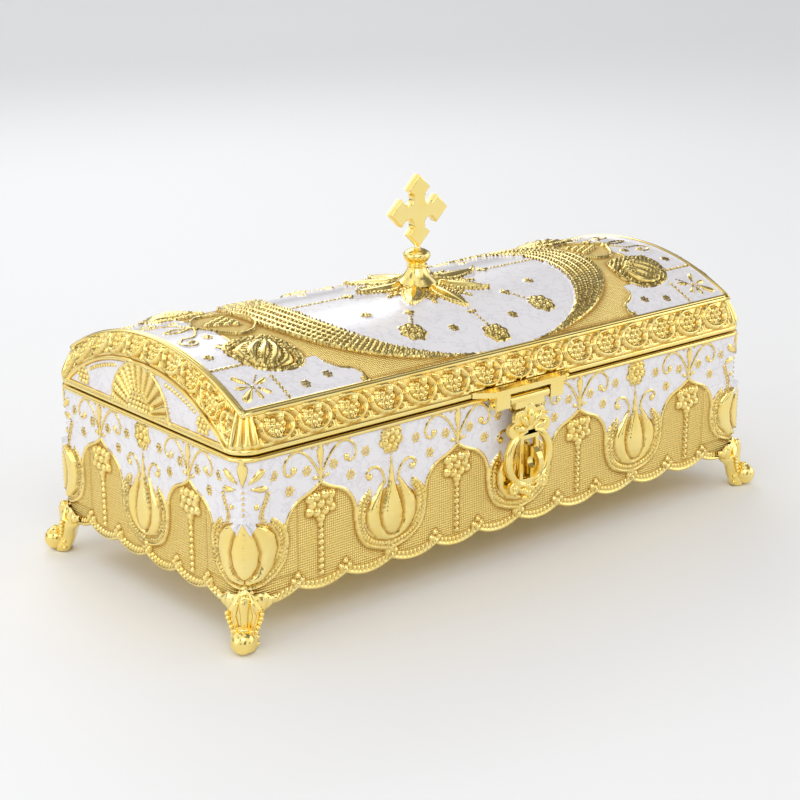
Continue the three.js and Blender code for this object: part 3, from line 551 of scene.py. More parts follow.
def oval_shrink(w):
    """How much of the oval's length is left at a distance w from its long axis."""
    return np.clip(1 - (w / OVAL_HALF_WIDTH) ** OVAL_POWER, 1e-4, 1) ** (1 / OVAL_POWER)


def rosette(relief, x, v):
    """Eight long leaves round the finial, with clusters of beads between them."""
    reach = np.hypot(x, v)
    for leaf in range(3):
        angle = leaf * math.pi / 4
        long = 29.5 if leaf % 2 == 0 else 28
        s = (x * math.cos(angle) + v * math.sin(angle) - 8) / (long - 8)
        w = np.abs(-x * math.sin(angle) + v * math.cos(angle))
        half = 4.7 * np.clip(np.sin(math.pi * np.clip(s, 0, 1) ** 0.72), 0, 1) ** 0.85
        inside = np.where((s > 0) & (s < 1), half - w, -2)
        keel = np.clip(1 - w / np.maximum(half, 0.1), 0, 1) ** 1.2
        relief.put(np.where(inside > 0, 0.6 + 1.7 * keel, 0), inside)
        bead = np.hypot(w - half + 0.55, np.mod(s * (long - 8), 1.5) - 0.75)
        relief.stud(np.where((s > 0.04) & (s < 0.97), 0.75 * rounded(bead, 0.6), 0))
        relief.stud(-0.35 * rounded(w, 0.35) * ((s > 0.15) & (s < 0.9)))
    for place in range(2):
        angle = math.pi / 8 + place * math.pi / 4
        for away, aside in [(12.2, 0), (14.2, -1.2), (14.2, 1.2), (16.4, -2), (16.4, 0), (16.4, 2),
                            (18.4, -1.1), (18.4, 1.1), (20.4, 0), (22.2, 0)]:
            relief.dome(away * math.cos(angle) - aside * math.sin(angle),
                        away * math.sin(angle) + aside * math.cos(angle), 1.05, 0.95)
    relief.put(0.5 * (reach < 10.5), 10.5 - reach)


def swag_ribs(relief, x, v):
    """Nested ribs round the ends of the oval, with rows of beads between them."""
    shrink = oval_shrink(v)
    level = (x / shrink - 61) / 19
    inside = np.minimum(level, 1 - level) * 19 * np.clip(shrink + 0.25, 0, 1)
    step = level * 5
    across = (np.mod(step, 1) - 0.5) * 3.8 * shrink
    size = np.clip(shrink * 1.5, 0, 1)
    smooth = 0.3 + 0.75 * rounded(across, 1.15 * shrink + 0.05)
    seam = (np.mod(step + 0.5, 1) - 0.5) * 3.8 * shrink
    along = 66 * np.arctan2(v, x * 0.9)
    bead = np.hypot(seam, np.mod(along, 1.95) - 0.975)
    beads = 1.6 * rounded(bead, 0.86 * size + 0.05) * (shrink > 0.12)
    relief.put(np.where(inside > 0, np.maximum(smooth * size, beads * size), 0), inside)


def crown_relief(relief, x, v):
    """The ribbed onion that points to a corner of the lid."""
    tip = (98.0, 36.5)
    direction = (-0.634, -0.774)
    s = (x - tip[0]) * direction[0] + (v - tip[1]) * direction[1]
    w = (x - tip[0]) * -direction[1] + (v - tip[1]) * direction[0]
    outer_s = np.clip((s + 1.5) / 24.5, 0, 1)
    outer = 14.2 * np.sin(math.pi * outer_s ** 0.86) ** 0.72
    inside = np.where((outer_s > 0) & (outer_s < 1), (outer - np.abs(w)) * 0.8, -2)
    relief.put(0.5 * (inside > 0), inside)
    relief.put(1.0 * rounded(inside - 0.55, 0.55), inside)
    body_s = np.clip(s / 18.6, 0, 1)
    body = 10.6 * np.sin(math.pi * body_s ** 0.86) ** 0.75
    share = np.clip(np.abs(w) / np.maximum(body, 0.1), 0, 2)
    core = np.where((body_s > 0) & (body_s < 1), body - np.abs(w), -2)
    ribs = 0.4 + 0.6 * np.abs(np.cos(share * 2.5 * math.pi)) ** 0.8
    swell = np.sqrt(np.clip(1 - share ** 2, 0, 1)) * np.sin(math.pi * body_s) ** 0.4
    relief.put(np.where(core > 0, 3.0 * ribs * swell, 0), core)
    for seam in (0.2, 0.6):
        bead = np.hypot((share - seam) * body, np.mod(s, 1.5) - 0.75)
        relief.stud(np.where(core > 0.3, 0.95 * rounded(bead, 0.62), 0))
    ring = np.where((inside > 1.2) & (core < -0.2), 1.0, 0.0)
    grain = np.hypot(np.mod(s, 1.6) - 0.8, np.mod(w + 0.8 * np.floor(s / 1.6), 1.6) - 0.8)
    relief.stud(ring * 0.85 * rounded(grain, 0.72))


def lid_end_motifs(relief, x, v):
    """The ogee at the end of the lid, with its tendrils, sprays and bead lines."""
    half = np.interp(x, [76.5, 80, 84, 88, 92, 96, 99, 101, 104],
                     [0, 8.5, 12.6, 14, 13.2, 9.4, 4.6, 2.2, 0])
    inside = np.where(half > 0.05, (half - v) * 0.8, -2)
    relief.enamel(np.clip(np.minimum(2 - np.abs(inside), x - 97), -2, 2))
    relief.field(inside)
    edge = np.abs(inside - 0.5)
    relief.put(1.0 * rounded(edge, 0.6) * (half > 0.05), np.where(half > 0.05, 0.6 - edge, -1))
    for column in range(4):
        for row in range(column + 1):
            relief.dome(94.6 - 3 * column, (row - column / 2) * 3.1, 1.45, 1.2)
    relief.wire(curve([(100, 0.4), (103.5, 0.5), (107, 1.8), (110, 1.4), (112.4, 0.3)], 4), 1.0, 0.75)
    relief.wire(curve([(101.6, 2.2), (104, 6.2), (107, 8.6), (111, 8.8), (113.6, 11.4), (112.4, 14.4),
                       (109.4, 14.8), (107.8, 12.6), (109.4, 11)], 4), 0.95, 0.75)
    relief.dome(109.8, 12.1, 1.1, 0.9)
    for place in [(102, 10.5), (103, 19.4), (111.2, 24.6)]:
        relief.flower(*place, 1.4, 0.62, 0.62)
    relief.beads([(98.8, 32.6), (116.4, 32.6)], 1.9, 0.82, 0.8)
    relief.beads([(97.4, 40.5), (97.4, 54.6)], 1.9, 0.82, 0.8)
    for angle, length, width in [(0.72, 8.4, 1.9), (1.6, 5.6, 1.0), (2.4, 6.0, 1.1), (3.5, 6.4, 1.2),
                                 (-0.1, 6.0, 1.1), (-0.95, 7.0, 1.3)]:
        relief.drop(107 + 0.9 * math.cos(angle), 44.4 + 0.9 * math.sin(angle), length, width, 1.0, angle)
    relief.dome(107, 44.4, 0.8, 0.8)
    relief.beads([(105.6, 42.8), (102, 38.8)], 1.5, 0.5, 0.5)
    for place in [(88, 48.3), (77.5, 46.2)]:
        relief.flower(*place, 1.4, 0.62, 0.62)


def oval_motifs(relief, x, v):
    rosette(relief, x, v)
    for place in [(31.5, 35.5), (0, 45.6)]:
        relief.flower(*place, 2.9, 1.5, 1.3, petals=7, rim=4.7)
    for place in [(40, 19), (14.5, 38)]:
        relief.flower(*place, 1.5, 0.72, 0.7)
    relief.beads([(22.5, 22.5), (29, 32)], 1.9, 0.7, 0.75)
    relief.flower(23.5, 23.6, 1.4, 0.85, 0.8, petals=4)
    relief.beads([(0, 31), (0, 40.8)], 1.9, 0.7, 0.75)
    relief.flower(0, 31.2, 1.4, 0.85, 0.8, petals=3)
    relief.beads([(31, 0), (61, 0)], 1.9, 0.75, 0.8)
    relief.flower(33, 0, 1.7, 1.0, 0.9, petals=4)


def lid_top(finish):
    spacing = FINE * 1.24
    across = int(2 * CREST_HALF / spacing)
    over = int(2 * VAULT_ARC / spacing)
    u, v = np.meshgrid(np.linspace(-CREST_HALF, CREST_HALF, across),
                       np.linspace(-VAULT_ARC, VAULT_ARC, over))
    # The four quarters mirror each other, so motifs are set out by distance from the middle lines.
    x = np.abs(u)
    w = np.abs(v)
    relief = Relief(x, w)
    beyond = x / oval_shrink(w) - 79.5
    relief.field(np.clip(np.where(w > OVAL_HALF_WIDTH, 2.0, beyond) * 0.4, -2, 2))
    relief.enamel(np.clip(x - 97, -2, 2))
    panel = np.interp(x, [63.5, 64.6, 65.4, 67.5, 70, 72.5, 74.4, 75.4],
                      [57, 53, 48, 45.8, 45, 43, 40.6, 36])
    relief.enamel(np.where((x > 63.8) & (x < 97.5), np.clip(w - panel, -2, 2), -2))
    relief.wire(curve([(64.6, 54.6), (65, 49), (67, 46.1), (70, 45), (72.6, 43), (74.6, 40)], 4),
                0.95, 0.75)
    relief.dome(66.2, 52, 1.2, 0.9)
    swag_ribs(relief, x, w)
    relief.wire([(97, 12), (97, 20)], 0.8, 0.6)
    lid_end_motifs(relief, x, w)
    crown_relief(relief, x, w)
    oval_motifs(relief, x, w)
    relief.put(1.0 * rounded(w - VAULT_ARC + 0.9, 1.0), w - VAULT_ARC + 1.7)
    relief.put(1.0 * rounded(x - CREST_HALF + 0.9, 1.0), x - CREST_HALF + 1.7)
    angle = v / VAULT_RADIUS
    radius = VAULT_RADIUS + relief.height
    height = RIM + VAULT_CENTRE + radius * np.cos(angle)
    points = np.stack([u, radius * np.sin(angle) + CENTRE_Y, height], axis=-1)
    piece = mesh_from("lid_top", points, grid_faces(over, across), finish, "lid", "lid",
                      values=relief.values(u, v))
    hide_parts("lid")


def band_lines(steps_long, steps_end, steps_corner):
    """Lower and upper edge of the sloping bands, all round, and the place of each step.

    The place counts medallions: below 10 on a long side, 10 to 11 round a corner, from 20 on an end.
    """
    lows = []
    highs = []
    kinds = []
    corner_x = CREST_HALF - 3.7
    for quarter in range(4):
        sx = (1, 1, -1, -1)[quarter]
        sy = (-1, 1, 1, -1)[quarter]
        long_t = np.linspace(0, 1, steps_long, endpoint=False)
        corner_t = np.linspace(0, 1, steps_corner, endpoint=False)
        end_t = np.linspace(0, 1, steps_end, endpoint=False)
        turn = corner_t * math.pi / 2
        long_low = np.stack([corner_x * long_t, np.full(steps_long, BAND_FOOT),
                             np.full(steps_long, LIP)], axis=-1)
        long_high = np.stack([corner_x * long_t, np.full(steps_long, RIDGE_HALF),
                              np.full(steps_long, RIDGE_HEIGHT)], axis=-1)
        corner_low = np.stack([corner_x + (END_HALF - corner_x) * np.sin(turn),
                               ARCH_HALF + (BAND_FOOT - ARCH_HALF) * np.cos(turn),
                               LIP + (ARCH_FOOT - LIP) * corner_t], axis=-1)
        y = RIDGE_HALF - (RIDGE_HALF - BAND_TOP_END) * corner_t
        corner_high = np.stack([corner_x + (CREST_HALF - corner_x) * corner_t, y,
                                crest_height(y)], axis=-1)
        y_low = ARCH_HALF * (1 - end_t)
        y_high = BAND_TOP_END * (1 - end_t)
        end_low = np.stack([np.full(steps_end, END_HALF), y_low, arch_height(y_low)], axis=-1)
        end_high = np.stack([np.full(steps_end, CREST_HALF), y_high, crest_height(y_high)], axis=-1)
        low = np.concatenate([long_low, corner_low, end_low])
        high = np.concatenate([long_high, corner_high, end_high])
        kind = np.concatenate([long_t * LONG_CELLS, 10 + corner_t, 20 + (1 - end_t) * END_CELLS])
        scale = np.array([sx, sy, 1])
        if quarter % 2:
            low, high, kind = low[::-1], high[::-1], kind[::-1]
        lows.append(low * scale)
        highs.append(high * scale)
        kinds.append(kind)
    return np.concatenate(lows), np.concatenate(highs), np.concatenate(kinds)


def medallion_relief(relief, c, height):
    """A scroll with a bunch of beads in it; c runs from -7.6 to 7.6 along the band."""
    across, relief.u = relief.u, c
    middle = height / 2
    turn = np.linspace(math.radians(75), math.radians(385), 26)
    size = np.linspace(1, 0.9, 26)
    scroll = np.stack([6.7 * size * np.cos(turn),
                       middle + 0.1 + (middle - 1.1) * size * np.sin(turn)], axis=-1)
    relief.wire(scroll, 1.35, 1.75)
    relief.wire(curve([scroll[-1], (6.6, middle + 3.0), (7.9, middle + 4.4)], 4), 1.2, 1.5)
    relief.dome(-2.6, middle + 2.7, 1.5, 1.7)
    for x, y in [(-3.2, 0.4), (-1, 0.2), (1.2, 0.2), (3.2, 0.6), (-2.2, -1.5), (0, -1.7), (2.2, -1.5),
                 (-1, -3.1), (1.1, -3.2), (0.6, 2.0), (2.6, 2.3)]:
        relief.dome(x, middle + y, 1.08, 1.15)
    edge = CELL / 2 - np.abs(c)
    fan = np.abs(np.sin(edge * 2.4)) * np.clip(1 - edge / 2.6, 0, 1) * (np.abs(relief.v - 1.6) < 1.6)
    relief.put(0.9 * fan, np.full(c.shape, 1.0))
    relief.u = across


def lid_bands(finish):
    low, high, kind = band_lines(
        steps_long=int(CREST_HALF / FINE), steps_end=int(72 / FINE), steps_corner=int(12 / FINE))
    rows = int(12 / FINE)
    t = np.linspace(0, 1, rows)[:, None]
    base = low[None] + (high - low)[None] * t[..., None]
    slope = np.linalg.norm(high - low, axis=1)[None, :] * np.ones_like(t)
    kinds = kind[None, :] * np.ones_like(t)
    relief = Relief(kinds, t * slope)
    relief.gilt[:] = 2.0
    walked = np.where(kinds < 10, kinds * CELL, kinds * 13)
    grain = np.hypot(np.mod(relief.v, 1.1) - 0.55, np.mod(walked, 1.1) - 0.55)
    relief.put(0.15 * rounded(grain, 0.5), np.full(t.shape, 2.0))
    whole = np.where(kinds < 10, np.mod(kinds + 0.5, 1), np.mod(kinds, 1)) - 0.5
    corner = (kinds >= 10) & (kinds < 20)
    medallion_relief(relief, np.where(corner, 99, whole * CELL), float(np.median(slope)))
    flutes = np.abs(np.sin((kinds - 10) * math.pi * 4)) * (1 - 0.35 * t)
    leaf = 0.5 + 1.5 * flutes * np.sin(math.pi * np.clip(t * 0.9 + 0.08, 0, 1)) ** 0.5
    relief.height = np.where(corner, leaf, relief.height)
    relief.put(0.7 * rounded(relief.v - 0.5, 0.6), np.full(kinds.shape, 2.0))
    relief.height = relief.height * np.clip(np.minimum(t, 1 - t) * 12, 0, 1)
    along = np.roll(base, -1, axis=1) - np.roll(base, 1, axis=1)
    up = (high - low)[None] * np.ones_like(t)[..., None]
    normal = np.cross(along, up)
    normal /= np.linalg.norm(normal, axis=-1, keepdims=True)
    points = base + normal * relief.height[..., None] + np.array([0, CENTRE_Y, RIM])
    faces = grid_faces(rows, len(kind), close_columns=True)
    mesh_from("lid_bands", points, faces, finish, "lid", "lid",
              values=relief.values(kinds * 10, relief.v))


def tympanum_relief(relief, y, z):
    """Shell of rays, grapes and bead strings on an arched end; y is the distance from the middle."""
    angle = np.arctan2(y, np.maximum(z - 1.2, 0.01))
    reach = np.hypot(y, z - 1.2)
    limit = 18.3
    inside = np.minimum(limit - reach, 2)
    rays = np.abs(np.cos(angle * 13))
    relief.put(np.where(inside > 0, 0.3 + 0.9 * rays * np.clip(reach / 8, 0, 1), 0), inside)
    relief.stud(np.where(inside > 1, 0.35 * rounded(np.mod(reach, 1.5) - 0.75, 0.6) * rays, 0))
    relief.put(1.3 * rounded(reach - limit + 0.5, 0.7), limit + 0.1 - reach)
    for row in range(4):
        for place in range(-3, 4):
            if abs(place) + row <= 4:
                relief.dome(abs(place) * 2.1 + (row % 2) * 1.05, 3 + 1.9 * row, 1.1, 1.7)
    string = [(place, arch_height(place) - 3.4) for place in np.linspace(15, 33, 14)]
    relief.beads(string, 1.75, 0.78, 0.8)
    for x, h in [(35, 4.4), (37.1, 4.3), (39.2, 4.6), (34.2, 6.4), (36.2, 6.3), (38.3, 6.4), (40.2, 6.6),
                 (35.2, 8.2), (37.3, 8.2), (39.3, 8.3), (36.3, 9.9), (38.2, 9.9)]:
        relief.dome(x, h, 1.1, 1.1)


def lid_end(name, direction, finish):
    columns = int(2 * ARCH_HALF / FINE)
    rows = int(20 / FINE)
    y = np.linspace(-ARCH_HALF, ARCH_HALF, columns)[None, :]
    top = np.maximum(arch_height(y), LIP - 0.6)
    t = np.linspace(0, 1, rows)[:, None]
    z = (LIP - 0.8) + (top - LIP + 0.8) * t
    y = y * np.ones_like(t)
    relief = Relief(np.abs(y), z)
    tympanum_relief(relief, np.abs(y), z)
    below = (top - z) * 0.8
    relief.put(1.0 * rounded(below - 0.6, 0.7), 1.5 - below)
    relief.put(1.0 * rounded(z - LIP - 0.1, 0.7), LIP + 0.9 - z)
    relief.height = relief.height * np.clip(below * 3, 0, 1)
    out = END_HALF + relief.height
    points = np.stack([direction * out, direction * y + CENTRE_Y, z + RIM], axis=-1)
    mesh_from(name, points, grid_faces(rows, columns), finish, "lid", "lid", values=relief.values(y, z))


def lid_ridge(gold):
    """The smooth raised moulding round the top's edge."""
    radius = 0.95
    sunk = 0.1
    ridge = RIM + RIDGE_HEIGHT - sunk
    y = np.linspace(-RIDGE_HALF, RIDGE_HALF, 80)
    parts = []
    for direction in (-1, 1):
        side = direction * (RIDGE_HALF - sunk) + CENTRE_Y
        end_x = np.full(len(y), direction * (CREST_HALF - sunk))
        long_edge = [(x, side, ridge) for x in np.linspace(-CREST_HALF, CREST_HALF, 60)]
        crest = np.stack([end_x, y + CENTRE_Y, RIM + crest_height(y) - sunk], axis=-1)
        parts += [tube(long_edge, radius, 12), tube(crest, radius, 12)]
        for end in (-1, 1):
            parts.append(ball((end * (CREST_HALF - sunk), side, ridge), radius))
    mesh_from("lid_ridge", *merged(parts), gold, "lid", "lid")


def lid_lip(gold):
    """The smooth moulding round the lid's foot, and the lid's inside."""
    rows = [(-LID_THICKNESS - 0.4, CLEARANCE), (-0.5, CLEARANCE), (-0.12, CLEARANCE + 0.12),
            (0, CLEARANCE + 0.5), (0, LIP - 0.5), (-0.15, LIP - 0.12), (-0.6, LIP + 0.15),
            (-1.6, LIP + 0.2)]
    lining("lid_lip", [(stand, RIM + height) for stand, height in rows], LID, gold, "lid")


def lid_inside(gold):
    """The underside of the vault and of the bands."""
    inner_x = END_HALF - LID_THICKNESS - 0.4
    inner_y = BAND_FOOT - LID_THICKNESS
    ratio_x, ratio_y = np.meshgrid(np.linspace(-1, 1, 81), np.linspace(-1, 1, 41))
    y = ratio_y * inner_y
    x = ratio_x * inner_x
    roof = crest_height(np.clip(y, -RIDGE_HALF, RIDGE_HALF)) - LID_THICKNESS
    side = LIP + (inner_y - np.abs(y)) * 2.3
    end = np.minimum(arch_height(y) - LID_THICKNESS, roof) + (inner_x - np.abs(x)) * 2.2
    height = np.minimum(np.minimum(roof, np.maximum(side, CLEARANCE)), np.maximum(end, CLEARANCE))
    edge = (np.abs(ratio_x) == 1) | (np.abs(ratio_y) == 1)
    height = np.where(edge, CLEARANCE, np.maximum(height, CLEARANCE))
    points = np.stack([x, y + CENTRE_Y, height + RIM], axis=-1)
    mesh_from("lid_inside", points, grid_faces(41, 81)[:, ::-1], gold, "lid", "lid")


# ---- Feet, finial and clasp ----------------------------------------------------------------------

HASP_BACK = -60.5
HASP_THICKNESS = 2.0
OVAL_Z = 40.6
VOLUTE_X = 7.0
VOLUTE_Z = 29.6


def foot_parts():
    """One foot about its corner: r outwards on the diagonal, t across it, z up."""
    parts = []
    steps = 26
    rows = []
    for s in np.linspace(0, 1, steps):
        z = 0.25 + 18.4 * s
        outer = np.interp(z, [0, 3, 5.5, 8.5, 12, 16, 18.8], [6.4, 5.6, 4.6, 3.4, 3.1, 3.2, 1.6])
        inner = np.interp(z, [0, 4.6, 9.2, 11.6, 12.8, 13.1, 18.8],
                          [1.4, -0.6, -1.7, -4.4, -5.2, 1.2, 1.2])
        half = np.interp(z, [0, 2, 6, 11.5, 13.2, 16, 18.8], [3.3, 4.2, 4.2, 6.2, 6.0, 4.4, 2.2])
        ring = []
        for step in range(32):
            turn = 2 * math.pi * step / 32
            c, d = (math.copysign(abs(part) ** 0.55, part) for part in (math.cos(turn), math.sin(turn)))
            r = (outer + inner) / 2 + (outer - inner) / 2 * c
            flute = 0.35 * math.cos(d * math.pi * 3) * max(c, 0)
            ring.append((r + flute, half * d, z))
        rows.append(ring)
    parts.append((np.array(rows), grid_faces(steps, 32, close_columns=True)))
    parts.append(ball((7.0, 0, 4.35), 4.15, 18, 28))
    parts.append(ball((7.0, 0, 8.3), 1.1))
    spine = [(np.interp(z, [5, 8.5, 12, 16, 18], [5.6, 4.0, 3.5, 3.5, 2.4]), 0, z)
             for z in np.linspace(18, 7, 18)]
    parts.append(tube(spine, np.linspace(1.9, 1.0, 18), 12))
    parts.append(ball((3.2, 0, 17.8), 1.5))
    for side in (-1, 1):
        for z in np.linspace(6.6, 12.6, 5):
            r = np.interp(z, [5, 9, 13], [4.4, 3.2, 2.9])
            half = np.interp(z, [6, 11.5, 13.2], [3.7, 5.7, 5.8])
            parts.append(ball((r, side * half, z), 0.85))
        for z in (2.0, 4.4):
            parts.append(ball((2.6, side * 3.9, z), 1.0))
        for place in (0.9, 2.7):
            parts.append(ball((6.4 - 0.1 * place, side * place, 8.4 - place * 0.25), 0.85))
        flank = [
            (np.interp(z, [8, 12, 16], [3.4, 3.2, 2.6]),
             side * np.interp(z, [8, 12, 16.5], [2.4, 3.4, 2.2]), z)
            for z in np.linspace(16.5, 8, 12)
        ]
        parts.append(tube(flank, 0.75, 8))
    return merged(parts)


def wing_parts(corner):
    """The leafy wings of a foot, laid on both walls; corner is the outline's distance there."""
    columns = 47
    span = 11.5
    reach = np.linspace(-span, span, columns)
    share = np.abs(reach) / span
    low = 11.4 + 3.8 * np.clip((share - 0.4) / 0.6, 0, 1)
    high = 19.9 - 3.4 * share ** 0.8 + 0.5 * np.cos(share * 4 * math.pi)
    rows = 14
    t = np.linspace(0, 1, rows)[:, None]
    z = low + (high - low) * t
    arch = np.sin(math.pi * t)
    stand = 1.25 + (1.5 - 0.7 * share) * arch ** 0.6 + 0.3 * np.cos(share * 9 * math.pi) * arch
    x, y, nx, ny = np.moveaxis(around(corner + reach, **WALL), -1, 0)
    front = np.stack([x + nx * stand, y + ny * stand + CENTRE_Y, z], axis=-1)
    back = [np.stack([x + nx * 1.2, y + ny * 1.2 + CENTRE_Y, level], axis=-1) for level in (z[0], z[-1])]
    return [(front, grid_faces(rows, columns)), (np.array(back), grid_faces(2, columns)[:, ::-1])]


def foot_piece(name, corner_side, gold):
    distance = sum(wall_sides()[:corner_side])
    x, y, nx, ny = around(np.array([distance]), **WALL)[0]
    points, faces = foot_parts()
    out = np.array([nx, ny, 0])
    across = np.array([ny, -nx, 0])
    placed = points @ np.array([out, across, [0, 0, 1]]) + [x, y + CENTRE_Y, 0]
    whole = merged([(placed, faces)] + wing_parts(distance))
    piece = mesh_from(name + "_cast", *whole, gold, "box", "feet")
    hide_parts(name)


def turned(profile, centre, sides=72):
    turn = np.linspace(0, 2 * math.pi, sides, endpoint=False)
    profile = np.asarray(profile)
    points = np.stack([
        centre[0] + profile[:, :1] * np.cos(turn), centre[1] + profile[:, :1] * np.sin(turn),
        profile[:, 1:] * np.ones(sides),
    ], axis=-1)
    return points, grid_faces(len(profile), sides, close_columns=True)


def finial_stem(gold):
    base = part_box("finial_stem")[0][2] / MM
    profile = curve([(0.05, 0), (7.4, 0), (7.8, 0.5), (7.0, 1.3), (5.6, 2.6), (4.4, 4.2), (3.5, 5.9),
                     (3.3, 6.3), (3.9, 6.8), (3.9, 7.3), (3.2, 7.7), (4.2, 8.8), (5.2, 10.4),
                     (4.7, 11.9), (3.1, 12.9), (1.7, 13.3), (1.5, 13.65), (0.05, 13.7)], 5)
    profile[:, 0] = np.maximum(profile[:, 0], 0.05)
    points, faces = turned([(r, z + base) for r, z in profile], (0, CENTRE_Y))
    piece = mesh_from("finial_stem_turned", points, faces, gold, "lid", "finial")
    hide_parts("finial_stem")


def plate_mesh(name, outlines, y_back, y_front, bevel):
    """A plate with rounded edges: its outline and then its holes, each a line of (x, z)."""
    shape = bpy.data.curves.new(name, "CURVE")
    shape.dimensions = "2D"
    shape.fill_mode = "BOTH"
    shape.extrude = (y_back - y_front) / 2 * MM - bevel * MM
    shape.bevel_depth = bevel * MM
    shape.bevel_resolution = 3
    shape.offset = -bevel * MM
    for line in outlines:
        line = np.asarray(line, dtype=float)
        spline = shape.splines.new("POLY")
        spline.points.add(len(line) - 1)
        flat = np.zeros((len(line), 4))
        flat[:, :2] = line * MM
        flat[:, 3] = 1
        spline.points.foreach_set("co", flat.ravel())
        spline.use_cyclic_u = True
    maker = bpy.data.objects.new(name + "_curve", shape)
    bpy.context.scene.collection.objects.link(maker)
    bpy.context.view_layer.update()
    mesh = bpy.data.meshes.new_from_object(maker.evaluated_get(bpy.context.evaluated_depsgraph_get()))
    bpy.data.objects.remove(maker)
    count = len(mesh.vertices)
    points = np.zeros(count * 3)
    mesh.vertices.foreach_get("co", points)
    points = points.reshape(-1, 3)
    middle = (y_back + y_front) / 2 * MM
    stood = np.stack([points[:, 0], middle - points[:, 2], points[:, 1]], axis=-1)
    mesh.vertices.foreach_set("co", stood.ravel())
    mesh.update()
    return mesh


def object_of(name, meshes, parts, finish, body):
    """One piece from curve-made meshes in metres and (points, faces) parts in millimetres."""
    whole = bmesh.new()
    for mesh in meshes:
        whole.from_mesh(mesh)
        bpy.data.meshes.remove(mesh)
    if parts:
        points, faces = merged(parts)
        extra = bpy.data.meshes.new("extra")
        extra.from_pydata((points * MM).tolist(), [], faces.tolist())
        whole.from_mesh(extra)
        bpy.data.meshes.remove(extra)
    bmesh.ops.recalc_face_normals(whole, faces=whole.faces)
    result = bpy.data.meshes.new(name)
    whole.to_mesh(result)
    whole.free()
    result.materials.clear()
    result.materials.append(finish)
    result.polygons.foreach_set("material_index", [0] * len(result.polygons))
    result.shade_smooth()
    piece = bpy.data.objects.new(name, result)
    bpy.context.scene.collection.objects.link(piece)
    bpy.context.view_layer.objects.active = piece
    piece.select_set(True)
    bpy.ops.object.shade_smooth_by_angle(angle=math.radians(38))
    piece.select_set(False)
    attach(piece, body)
    return piece


def cross_outline():
    low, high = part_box("finial_cross")
    middle = (low[2] + high[2]) / 2 / MM
    line = []
    for arm in range(4):
        reach = ((high[2] - low[2]) if arm % 2 else (high[0] - low[0])) / 2 / MM - 0.05
        turn = arm * math.pi / 2
        half = 5.2
        quadrant = [(reach, 0), (reach - half, half), (half + 0.9, 2.5)]
        for angle in np.linspace(-math.pi * 0.28, -math.pi * 1.22, 14):
            quadrant.append((4.75 + 2.1 * math.cos(angle), 4.75 + 2.1 * math.sin(angle)))
        quadrant += [(2.5, half + 0.9), (half, reach - half)]
        for x, z in quadrant:
            line.append((x * math.cos(turn) - z * math.sin(turn),
                         x * math.sin(turn) + z * math.cos(turn) + middle))
    return line


def finial_cross(gold):
    mesh = plate_mesh("cross", [cross_outline()], CENTRE_Y + 1.8, CENTRE_Y - 1.8, 0.45)
    piece = object_of("finial_cross_cast", [mesh], [], gold, "lid")
    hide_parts("finial_cross")


